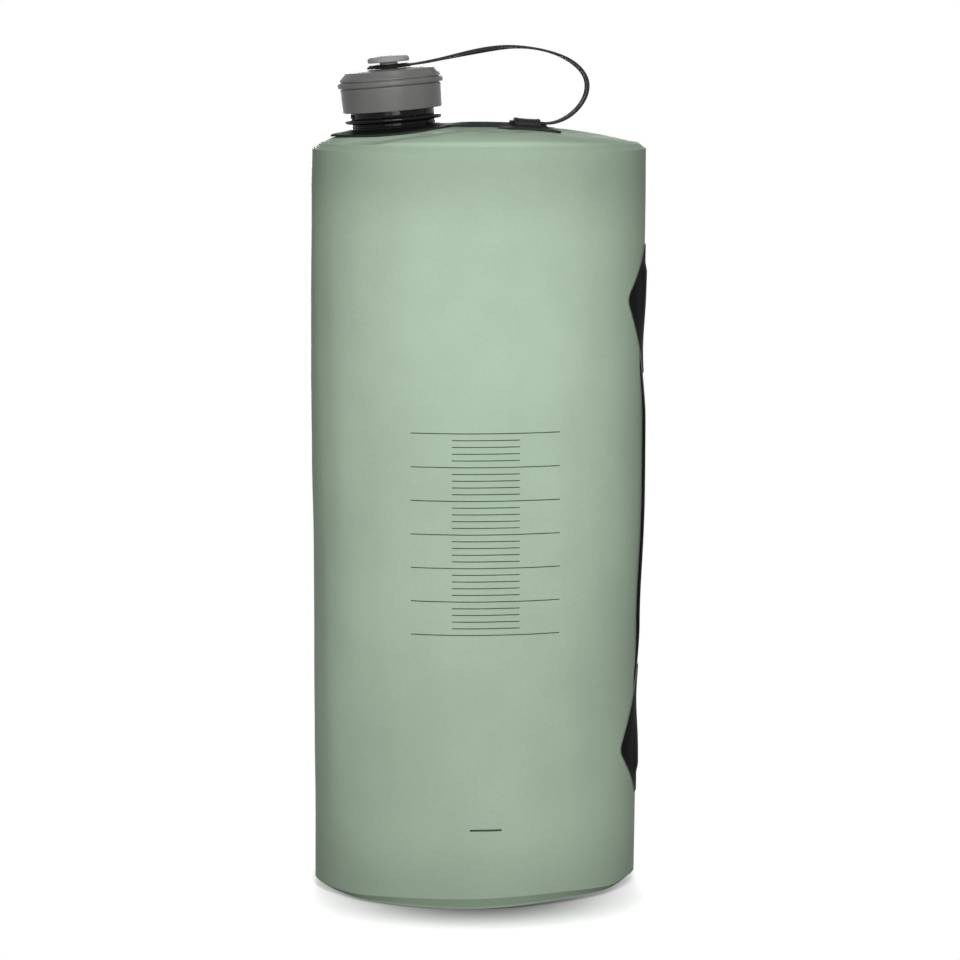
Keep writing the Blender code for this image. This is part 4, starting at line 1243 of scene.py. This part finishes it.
def thread_tree():
    """Screw thread: a ridge wound round the spout, fading out at both ends."""
    tree, given = new_geometry_tree("screw_thread", [
        ("Turns", "Float"), ("Pitch", "Float"), ("Root Radius", "Float"), ("Crest Radius", "Float"),
        ("Base Width", "Float"), ("Plastic", "Material")])
    spiral = add_node(tree, "GeometryNodeCurveSpiral", {
        "Resolution": 96, "Rotations": given["Turns"], "Start Radius": given["Root Radius"],
        "End Radius": given["Root Radius"], "Height": given["Turns"] * given["Pitch"]})[0]
    upright = add_node(tree, "GeometryNodeSetCurveNormal", {"Curve": spiral}, mode="Z_UP")[0]
    along = add_node(tree, "GeometryNodeSplineParameter")["Factor"]
    ends = spread(along, 0.0, 0.05, 0.12, 1.0) * spread(along, 0.95, 1.0, 1.0, 0.12)
    sized = add_node(tree, "GeometryNodeSetCurveRadius", {"Curve": upright, "Radius": ends})[0]
    depth = (given["Crest Radius"] - given["Root Radius"]) * 2.0
    ridge = sweep_section(
        tree, sized, given["Base Width"], depth, 3,
        lambda x, y: (x * spread(abs(y) / (depth * 0.5), 0.0, 1.0, 1.0, 0.35, smooth=False), y))
    return end_geometry_tree(tree, ridge, given["Plastic"])


def build_thread(material):
    """The spout's screw thread, which shows just below the cap."""
    start = COLLAR_HEIGHT + COLLAR_THICKNESS / 2 + THREAD_GAP
    turned = SPOUT_FRAME @ Matrix.Translation((0, 0, start)) @ Matrix.Rotation(THREAD_START, 4, "Z")
    thread = grow("spout_thread", bpy.data.meshes.new("thread"), thread_tree(), {
        "Turns": THREAD_TURNS, "Pitch": THREAD_PITCH, "Root Radius": NECK_RADIUS,
        "Crest Radius": THREAD_CREST, "Base Width": THREAD_WIDTH, "Plastic": material}, turned)
    hand_over(thread, "top")


# Top patch and leash anchor

def patch_lift(x, y):
    """Extra height of the patch: over the spout's moulded foot, and at its free left tip."""
    reach = math.hypot(x - NECK_CENTRE, y)
    foot = PATCH_FOOT_RISE * (1 - float(ease(reach, NECK_RADIUS, PATCH_FOOT_REACH)))
    tip = float(smooth_step((NECK_CENTRE - RING_TIP + PATCH_TIP_START - x) / PATCH_TIP_REACH))
    return foot + PATCH_TIP_CURL * tip


def ring_outline():
    """Upper half of the patch's outline from the arm round the ring to its tip."""
    meet = math.asin(ARM_HALF_WIDTH / RING_RADIUS)
    last = math.pi - RING_TIP_SPREAD
    steps = 60
    turns = [meet + (last - meet) * k / steps for k in range(steps + 1)]
    return [(NECK_CENTRE + RING_RADIUS * math.cos(a), RING_RADIUS * math.sin(a), 0.0) for a in turns]


def toes_outline(side):
    """One side of the patch's outline under the leash anchor, from the arm to its far end."""
    toe_end = TOE_REACH + TOE_HALF_WIDTH
    corners = ((-TOE_WAIST_REACH - ARM_NOTCH_LENGTH, ARM_HALF_WIDTH), (-TOE_WAIST_REACH, TOE_WAIST_HALF),
               (-toe_end, TOE_SPREAD - TOE_HALF_WIDTH), (-TOE_REACH, TOE_SPREAD), (0.0, TOE_WAIST_SPREAD),
               (TOE_REACH, TOE_SPREAD), (toe_end, TOE_SPREAD - TOE_HALF_WIDTH),
               (TOE_WAIST_REACH, TOE_WAIST_REACH))
    return [(ANCHOR_CENTRE + x, side * y, TOE_WAIST_ROUND if x == 0 else 0.0) for x, y in corners]


def build_top_patch(material):
    """Black film: ring round the spout, arm along the dome and foot of the leash anchor."""
    ring = ring_outline()
    tip = (NECK_CENTRE - RING_TIP + PATCH_TIP_BLUNT, 0.0, 0.0)
    corners = ([(x, -y, r) for x, y, r in reversed(ring)] + toes_outline(-1) + toes_outline(1)[::-1]
               + ring + [tip])
    bore = NECK_RADIUS + NECK_FIT
    hole = [Vector((NECK_CENTRE + bore * math.cos(a), bore * math.sin(a)))
            for a in np.linspace(0, 2 * math.pi, 120, endpoint=False)]

    def at(x, y, out):
        return x, y, float(dome_height(x, y)) + patch_lift(x, y) + PATCH_LOW + out

    outline = split_long(rounded_path(corners, 8, closed=True), PATCH_SPACING)
    patch = film_sheet("top_patch_film", [outline, hole], PATCH_SPACING,
                       lambda x, y: at(x, y, 0.0), lambda x, y: at(x, y, PATCH_THICKNESS), material)
    hand_over(patch, "top", "top_patch")


def build_anchor(material):
    """Belt loop over the leash, with a raised rib at each end of its bridge."""
    foot_low = PATCH_HIGH - ANCHOR_SINK
    foot_high = PATCH_HIGH + WELD_GAP + ANCHOR_FOOT_WALL
    ceiling = LEASH_LOW + LEASH_THICKNESS + WELD_GAP
    crown = ceiling + ANCHOR_WALL
    tunnel = LEASH_WIDTH / 2 + ANCHOR_TUNNEL_FIT
    rows = []
    for share, rib in [(-share, rib) for share, rib in ANCHOR_RIBS[:0:-1]] + list(ANCHOR_RIBS):
        x = ANCHOR_CENTRE + ANCHOR_LENGTH * share
        half = [(ANCHOR_FOOT_HALF, foot_low), (ANCHOR_FOOT_HALF, foot_high - 0.0002),
                (ANCHOR_FOOT_HALF - ANCHOR_ROUND, foot_high),
                (ANCHOR_SLOPE_HALF + 0.0004, foot_high + 0.0001),
                ((ANCHOR_SLOPE_HALF + ANCHOR_CROWN_HALF) / 2, (foot_high + crown) / 2 + rib),
                (ANCHOR_CROWN_HALF + 0.0003, crown - 0.0002 + rib),
                (ANCHOR_CROWN_HALF - ANCHOR_ROUND, crown + rib)]
        section = half + [(0.0, crown + rib)] + [(-y, out) for y, out in reversed(half)]
        section += [(-tunnel, foot_low), (-tunnel, ceiling), (0.0, ceiling), (tunnel, ceiling),
                    (tunnel, foot_low)]
        rows.append(np.array([(x, y, float(dome_height(x, y)) + out) for y, out in section]))
    loop = piece_from("leash_loop", *capped_skin(rows), material)
    soften_edges(loop)
    hand_over(loop, "top", "leash_anchor")


# Cap

def build_cap(cap_material, button_material, ring_material):
    """Cap shell, its button and the leash's ring between them."""
    bead_low = SKIRT_TOP + GROOVE_WIDTH
    bead_high = bead_low + BEAD_HEIGHT
    dome_low = bead_high + GROOVE_WIDTH
    dome_high = dome_low + DOME_SIDE_HEIGHT
    bead_edge = BEAD_RADIUS - 0.0001
    hole = STEM_RADIUS + STEM_FIT
    shell = [
        (hole, CAP_CROWN, 0), (CAP_SEAT_RADIUS, CAP_CROWN, 0.0010), (0.0150, CAP_CROWN - 0.00022, 0.003),
        (DOME_RADIUS_HIGH, dome_high + 0.00005, 0.0009),
        (DOME_RADIUS_LOW - 0.0002, dome_low + 0.0010, 0.0015),
        (DOME_RADIUS_LOW, dome_low, 0.00015), (GROOVE_RADIUS, dome_low, 0.0001),
        (GROOVE_RADIUS, bead_high, 0.0001), (bead_edge, bead_high, 0.0009),
        (BEAD_RADIUS, (bead_low + bead_high) / 2, 0.001), (bead_edge, bead_low, 0.0009),
        (GROOVE_RADIUS, bead_low, 0.0001), (GROOVE_RADIUS, SKIRT_TOP, 0.0001),
        (SKIRT_RADIUS_HIGH, SKIRT_TOP, 0.00018), (SKIRT_RADIUS_HIGH - 0.00003, SKIRT_TOP - 0.0008, 0.0002),
        (SKIRT_RADIUS_LOW, SKIRT_BOTTOM, 0.0004), (SKIRT_BORE, SKIRT_BOTTOM, 0.0004),
        (SKIRT_BORE, CAP_CEILING, 0), (hole, CAP_CEILING, 0),
    ]
    head_low = CAP_CROWN + BUTTON_STANDOFF
    head_high = head_low + BUTTON_HEIGHT
    snap = CAP_CEILING - STEM_FIT
    button = [
        (0.0, head_high + BUTTON_CROWN, 0), (0.0045, head_high + BUTTON_CROWN - 0.0001, 0.004),
        (BUTTON_RADIUS - 0.0004, head_high - 0.0001, 0.0010), (BUTTON_RADIUS, head_high - 0.0012, 0.0006),
        (BUTTON_RADIUS - 0.0001, head_low + 0.0002, 0.0008), (STEM_RADIUS, head_low, 0.0003),
        (STEM_RADIUS, snap, 0), (SNAP_RADIUS, snap, 0), (STEM_RADIUS, snap - SNAP_HEIGHT, 0),
        (0.0, snap - SNAP_HEIGHT, 0),
    ]
    high = RING_LOW + LEASH_RING_THICKNESS
    bore = STEM_RADIUS + 2 * STEM_FIT
    ring = [
        (bore, RING_LOW, 0), (LEASH_RING_RADIUS, RING_LOW + 0.00005, 0.0002),
        (LEASH_RING_RADIUS, RING_LOW + EYE_EDGE, 0.0002), (LEASH_RING_RADIUS - EYE_DRAW, high, 0.0004),
        (bore, high, 0),
    ]
    hand_over(turned_piece("cap_body", shell, cap_material), "cap", "cap_shell")
    hand_over(turned_piece("cap_pull", button, button_material, hollow=False), "cap",
              "cap_button")
    hand_over(turned_piece("leash_eye", ring, ring_material), "leash_ring", "leash_ring")


# Leash

def bezier(start, pull_start, pull_end, end, t):
    """Point of a cubic curve."""
    s = 1 - t
    return start * s ** 3 + pull_start * 3 * s * s * t + pull_end * 3 * s * t * t + end * t ** 3


def leash_route():
    """Centre line of the leash from where it leaves the loop over the arc to the ring."""
    axis = Vector((-math.sin(NECK_LEAN), 0.0, math.cos(NECK_LEAN)))
    outward = Vector((axis.z, 0.0, -axis.x))
    exit_x = ANCHOR_CENTRE + ANCHOR_LENGTH / 2 + LEASH_EXIT
    start = on_dome(exit_x, LEASH_MIDDLE)
    ahead = (on_dome(exit_x + LEASH_EXIT, LEASH_MIDDLE) - start).normalized()
    bend = Vector((LEASH_BEND[0], 0.0, LEASH_BEND[1]))
    crest = Vector((LEASH_CREST[0], 0.0, LEASH_CREST[1]))
    end = (Vector((NECK_CENTRE, 0.0, SEAT_HEIGHT)) + axis * (RING_LOW + LEASH_RING_THICKNESS / 2)
           + outward * (LEASH_RING_RADIUS - LEASH_EYE_LAP))
    up = Vector((0.0, 0.0, 1.0))
    left = Vector((-1.0, 0.0, 0.0))
    knots = ((start, ahead), (bend, up), (crest, left), (end, -outward))
    points = [start]
    for (here, way), (there, way_there), (pull, pull_there) in zip(knots, knots[1:], LEASH_PULLS):
        points += [bezier(here, here + way * pull, there - way_there * pull_there, there, k / LEASH_STEPS)
                   for k in range(1, LEASH_STEPS + 1)]
    return points


def strap_tree():
    """Flat moulded strap swept along a curve, with thicker edges and a hollowed middle."""
    tree, given = new_geometry_tree("moulded_strap", [
        ("Width", "Float"), ("Edge Thickness", "Float"), ("Middle Thickness", "Float"),
        ("Edge Width", "Float"), ("Rubber", "Material")])
    half = given["Width"] * 0.5
    inner = half - given["Edge Width"]
    thin = given["Middle Thickness"] / given["Edge Thickness"]

    def shape(x, y):
        into_edge = spread(abs(x), inner - LEASH_EDGE_EASE, inner, thin, 1.0)
        rounding = spread(abs(x), half - LEASH_EDGE_EASE, half, 1.0, 0.45)
        return x, y * (into_edge * rounding)

    strap = sweep_section(tree, given["Geometry"], given["Width"], given["Edge Thickness"], 15, shape)
    return end_geometry_tree(tree, strap, given["Rubber"])


def leash_line(name, points, tilts, widths):
    """A poly curve with a tilt and a width share at each point."""
    data = bpy.data.curves.new(name, "CURVE")
    data.dimensions = "3D"
    data.twist_mode = "MINIMUM"
    spline = data.splines.new("POLY")
    spline.points.add(len(points) - 1)
    for spot, point, tilt, width in zip(spline.points, points, tilts, widths):
        spot.co = (*point, 1.0)
        spot.tilt = tilt
        spot.radius = width
    return data


def build_leash(material):
    """The leash in three lengths that meet at its bend and beside the cap; the length beside the cap goes on
    the ring's body, so that it follows the cap.
    """
    route = leash_route()
    count = len(route)
    twist = list(ease_through(LEASH_TWISTS, np.linspace(0, 3, count)))
    flare = [1.0 + LEASH_FLARE * float(ease(k, count - LEASH_FLARE_START, LEASH_FLARE_STEPS))
             for k in range(count)]
    tail = ANCHOR_CENTRE - ANCHOR_LENGTH / 2 - LEASH_STOP_GAP
    lead = [on_dome(tail + (route[0].x - LEASH_STOP_GAP - ANCHOR_CENTRE + ANCHOR_LENGTH / 2) * k / 12,
                    LEASH_MIDDLE) for k in range(12)]
    meet = LEASH_STEPS
    clear = max(k for k, point in enumerate(route) if point.x - NECK_CENTRE > BEAD_RADIUS + LEASH_CLEAR)
    first = route[:meet + 1]
    lengths = (
        ("leash_lower", lead + first, [0.0] * len(lead) + twist[:meet + 1], [1.0] * len(lead + first),
         ("top", "leash", route[0], route[meet])),
        ("leash_upper", route[meet:clear + 1], twist[meet:clear + 1], flare[meet:clear + 1],
         ("leash", "leash_ring", route[meet], route[clear])),
        ("leash_root", route[clear:], twist[clear:], flare[clear:], None),
    )
    sizes = {"Width": LEASH_WIDTH, "Edge Thickness": LEASH_EDGE_THICKNESS, "Edge Width": LEASH_EDGE_WIDTH,
             "Middle Thickness": LEASH_MIDDLE_THICKNESS, "Rubber": material}
    tree = strap_tree()
    for name, points, tilts, widths, between in lengths:
        length = grow(name, leash_line(name + "_line", points, tilts, widths), tree, sizes)
        if between:
            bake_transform(length)
        else:
            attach(length, "leash_ring")
        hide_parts("leash_strap")
    middle = on_dome(tail - LEASH_STOP[0] / 2, PATCH_HIGH + LEASH_STOP[2] / 2)
    bm = bmesh.new()
    bmesh.ops.create_cube(bm, size=1.0)
    bmesh.ops.scale(bm, vec=LEASH_STOP, verts=bm.verts[:])
    bmesh.ops.bevel(bm, geom=bm.edges[:], offset=LEASH_STOP_ROUND, segments=4, profile=0.5, affect="EDGES")
    bmesh.ops.translate(bm, vec=middle, verts=bm.verts[:])
    hand_over(smooth_piece("leash_stop", mesh_of(bm, "leash_stop"), material), "top")


# Carry strap and its patches

def kite_outline(long_side):
    """Kite with blunt ends; long_side is +1 where it tapers long upwards, else -1."""
    outer = KITE_TIP_DISTANCE * -long_side
    inner = (KITE_LENGTH - KITE_TIP_DISTANCE) * long_side
    corners = [
        (KITE_HALF_WIDTH, 0.0, KITE_TIP_ROUND), (KITE_END_HALF_WIDTH, inner, 0.0),
        (-KITE_END_HALF_WIDTH, inner, 0.0), (-KITE_HALF_WIDTH, 0.0, KITE_TIP_ROUND),
        (-KITE_END_HALF_WIDTH, outer, 0.0), (KITE_END_HALF_WIDTH, outer, 0.0),
    ]
    return split_long(rounded_path(corners, 8, closed=True), PATCH_SPACING)


def pocket_lift(distance, from_end):
    """How far the patch stands off to make room for the strap's end."""
    side = 1 - smooth_step((abs(distance) - STRAP_HALF_WIDTH - POCKET_MARGIN) / POCKET_SLOPE)
    end = smooth_step((from_end + POCKET_SLOPE + 2 * POCKET_MARGIN) / POCKET_SLOPE)
    return (STRAP_PRESSED + SMALL_GAP) * float(side) * float(end)


def build_handle_patch(name, node, tip_height, long_side, material):
    """Kite patch laid on the wall, with a pocket over the end of the strap."""
    strap_end = tip_height - long_side * (KITE_TIP_DISTANCE - STRAP_TUCK)

    def at(distance, rise, out):
        height = tip_height + rise
        return on_wall(distance, height, out + pocket_lift(distance, (height - strap_end) * long_side))

    patch = film_sheet(name, [kite_outline(long_side)], KITE_SPACING,
                       lambda u, v: at(u, v, KITE_LOW), lambda u, v: at(u, v, KITE_HIGH), material)
    soften_edges(patch)
    hand_over(patch, "base", node, squashed=True)


def build_handle_strap(material):
    """Woven carry strap, pressed flat in the pockets and thicker between them."""
    free_top = HANDLE_TOP - KITE_LENGTH
    free_bottom = HANDLE_BOTTOM + KITE_LENGTH
    shares = [2 * j / STRAP_COLUMNS - 1 for j in range(STRAP_COLUMNS + 1)]
    rows = []
    uvs = []
    for height in np.linspace(HANDLE_BOTTOM + STRAP_TUCK, HANDLE_TOP - STRAP_TUCK, STRAP_ROWS):
        free = float(smooth_step(min(height - free_bottom, free_top - height) / STRAP_LEAVE))
        thick = STRAP_PRESSED + (STRAP_THICKNESS - STRAP_PRESSED) * free
        crown = on_wall(0.0, height, 0.0)
        ring = []
        for face in (1, -1):
            for share in shares[::face]:
                across = STRAP_HALF_WIDTH * share
                full = float(smooth_step((1 - abs(share)) / STRAP_EDGE_REACH))
                edge = STRAP_EDGE_SHARE + (1 - STRAP_EDGE_SHARE) * full
                out = SMALL_GAP + thick * (1 + face * edge) / 2
                loose = Vector((crown.x + out, across, height))
                ring.append(tuple(on_wall(across, height, out).lerp(loose, free * STRAP_LOOSE_SHARE)))
                uvs.append((across + (STRAP_BACK_SHIFT if face < 0 else 0.0), height))
        rows.append(np.array(ring))
    strap = piece_from("carry_strap", *capped_skin(rows), material)
    layer = strap.data.uv_layers.new(name="along_strap")
    corner = np.empty(len(strap.data.loops), dtype=np.int32)
    strap.data.loops.foreach_get("vertex_index", corner)
    layer.data.foreach_set("uv", np.array(uvs, dtype=np.float32)[corner].ravel())
    hand_over(strap, "base", "handle_strap", squashed=True)


# Printed level gauge

def gauge_tree():
    """Fine printed lines at even heights, wrapped on the wall, with every fifth one longer."""
    tree, given = new_geometry_tree("level_gauge", [
        ("Wall", "Object"), ("Lines", "Int"), ("Spacing", "Float"), ("Lowest Height", "Float"),
        ("Centre", "Float"), ("Short Length", "Float"), ("Long Length", "Float"), ("Line Width", "Float"),
        ("Ink Thickness", "Float"), ("Ink", "Material")])
    line = add_node(tree, "GeometryNodeMeshLine", {
        "Count": given["Lines"], "Offset": join_parts(tree, Z=given["Spacing"]),
        "Start Location": join_parts(tree, X=given["Centre"], Z=given["Lowest Height"])}, mode="OFFSET")[0]
    bar = add_node(tree, "GeometryNodeMeshCube", {
        "Size": (1.0, 1.0, 1.0), "Vertices X": 37, "Vertices Y": 2, "Vertices Z": 2})["Mesh"]
    fifth = maths("LESS_THAN", add_node(tree, "GeometryNodeInputIndex")[0] % 5.0, 0.5)
    length = given["Short Length"] + (given["Long Length"] - given["Short Length"]) * fifth
    size = join_parts(tree, X=length, Y=given["Ink Thickness"], Z=given["Line Width"])
    placed = add_node(tree, "GeometryNodeInstanceOnPoints",
                      {"Points": line, "Instance": bar, "Scale": size})[0]
    real = add_node(tree, "GeometryNodeRealizeInstances", {"Geometry": placed})[0]
    parts = point_parts(tree)
    ray = add_node(tree, "GeometryNodeRaycast", {
        "Target Geometry": add_node(tree, "GeometryNodeObjectInfo", {"Object": given["Wall"]})["Geometry"],
        "Source Position": join_parts(tree, X=parts["X"], Y=-0.2, Z=parts["Z"]),
        "Ray Direction": (0.0, 1.0, 0.0), "Ray Length": 1.0})
    away = add_node(tree, "ShaderNodeVectorMath", {
        0: ray["Hit Normal"], "Scale": given["Ink Thickness"] * 0.6 - parts["Y"]}, operation="SCALE")[0]
    moved = add_node(tree, "GeometryNodeSetPosition", {
        "Geometry": real, "Position": vector_maths("ADD", ray["Hit Position"], away)})[0]
    return end_geometry_tree(tree, moved, given["Ink"])


def build_gauge(wall, material):
    """Level gauge on the front, and a short line near the foot."""
    tree = gauge_tree()
    for name, sizes in GAUGES.items():
        gauge = grow(name, bpy.data.meshes.new(name), tree,
                     {"Wall": wall, "Ink": material, **GAUGE_LINES, **sizes})
        hand_over(gauge, "base", squashed=True)


# Ground, world and everything together

def light_path_seen(tree):
    """1 for rays from the camera, from gloss and through glass, else 0."""
    path = add_node(tree, "ShaderNodeLightPath")
    seen = maths("MAXIMUM", path["Is Camera Ray"], path["Is Glossy Ray"])
    return maths("MAXIMUM", seen, path["Is Transmission Ray"])


def build_ground():
    """White ground that keeps the object's real shadow near it, darkened by a painted contact shadow in
    front of the foot's middle, and is plain white further out.
    """
    bm = bmesh.new()
    bmesh.ops.create_circle(bm, cap_ends=True, radius=GROUND_RADIUS, segments=96)
    material = bpy.data.materials.new("white_ground")
    material.use_nodes = True
    tree = material.node_tree
    tree.nodes.clear()
    place = add_node(tree, "ShaderNodeTexCoord")["Object"]
    moved = vector_maths("ADD", place, (0.0, CONTACT_FORWARD, 0.0))
    oval = vector_maths("MULTIPLY", moved, (1 / CONTACT_WIDE, 1 / CONTACT_DEEP, 0.0))
    reach = add_node(tree, "ShaderNodeVectorMath", {0: oval}, operation="LENGTH")["Value"]
    seen = light_path_seen(tree)
    far = spread(reach, 2.7, 3.5) * seen
    # Painted contact shadow: an oval falloff that darkens the ground in front of the foot's middle, on top
    # of the real shadows
    painted_shadow_falloff = 0.6065 ** (reach * reach)
    painted_contact_shadow = (1.0 - painted_shadow_falloff * CONTACT_DARK) ** CONTACT_EDGE
    shaded = blend_color(painted_contact_shadow, rgba((0.0, 0.0, 0.0)), rgba([GROUND_GAIN] * 3))
    matte = add_node(tree, "ShaderNodeBsdfDiffuse", {
        "Color": blend_color(seen, rgba([GROUND_BOUNCE] * 3), shaded)})[0]
    pale = add_node(tree, "ShaderNodeEmission", {"Strength": painted_contact_shadow * seen * GROUND_PALE})[0]
    near = add_node(tree, "ShaderNodeAddShader", {0: matte, 1: pale})[0]
    white = add_node(tree, "ShaderNodeEmission", {"Strength": 1.0})[0]
    both = add_node(tree, "ShaderNodeMixShader", {0: far, 1: near, 2: white})[0]
    add_node(tree, "ShaderNodeOutputMaterial", {"Surface": both})
    mesh = mesh_of(bm, "ground")
    mesh.materials.append(material)
    add_object("ground", mesh)


def build_world():
    """Plain dim sky light, seen as white."""
    world = bpy.data.worlds.new("plain_studio")
    world.use_nodes = True
    tree = world.node_tree
    tree.nodes.clear()
    dim, white = (add_node(tree, "ShaderNodeBackground", {"Color": (1, 1, 1, 1), "Strength": strength})[0]
                  for strength in (SKY_LEVEL, 1.0))
    both = add_node(tree, "ShaderNodeMixShader", {0: light_path_seen(tree), 1: dim, 2: white})[0]
    add_node(tree, "ShaderNodeOutputWorld", {"Surface": both})
    bpy.context.scene.world = world


def main():
    """Build the scene."""
    place_camera()
    bpy.context.scene.view_settings.view_transform = "Standard"
    build_world()
    build_ground()
    for lamp in LAMPS:
        soft_lamp(*lamp)
    film, band, top = (film_material(name, *values) for name, values in FILMS.items())
    patch, cover = (patch_material(name, line) for name, line in PATCH_LINES.items())
    webbing = webbing_material()
    spout, cap, button, eye, loop, leash, seal = (plastic_material(name, *values)
                                                  for name, values in MOULDINGS.items())
    wall = build_wall(film, band)
    build_rim_band(band)
    build_floor_film(film)
    build_top_film(top)
    build_spout(spout)
    build_thread(spout)
    build_top_patch(cover)
    build_anchor(loop)
    build_cap(cap, button, eye)
    build_leash(leash)
    for end, height, long_side in (("upper", HANDLE_TOP - KITE_TIP_DISTANCE, -1),
                                   ("lower", HANDLE_BOTTOM + KITE_TIP_DISTANCE, 1)):
        build_handle_patch("carry_patch_" + end, "handle_patch_" + end, height, long_side, patch)
    build_handle_strap(webbing)
    build_gauge(wall, ink_material())

    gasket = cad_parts["cap_gasket"]
    gasket.data.materials.clear()
    gasket.data.materials.append(seal)


main()
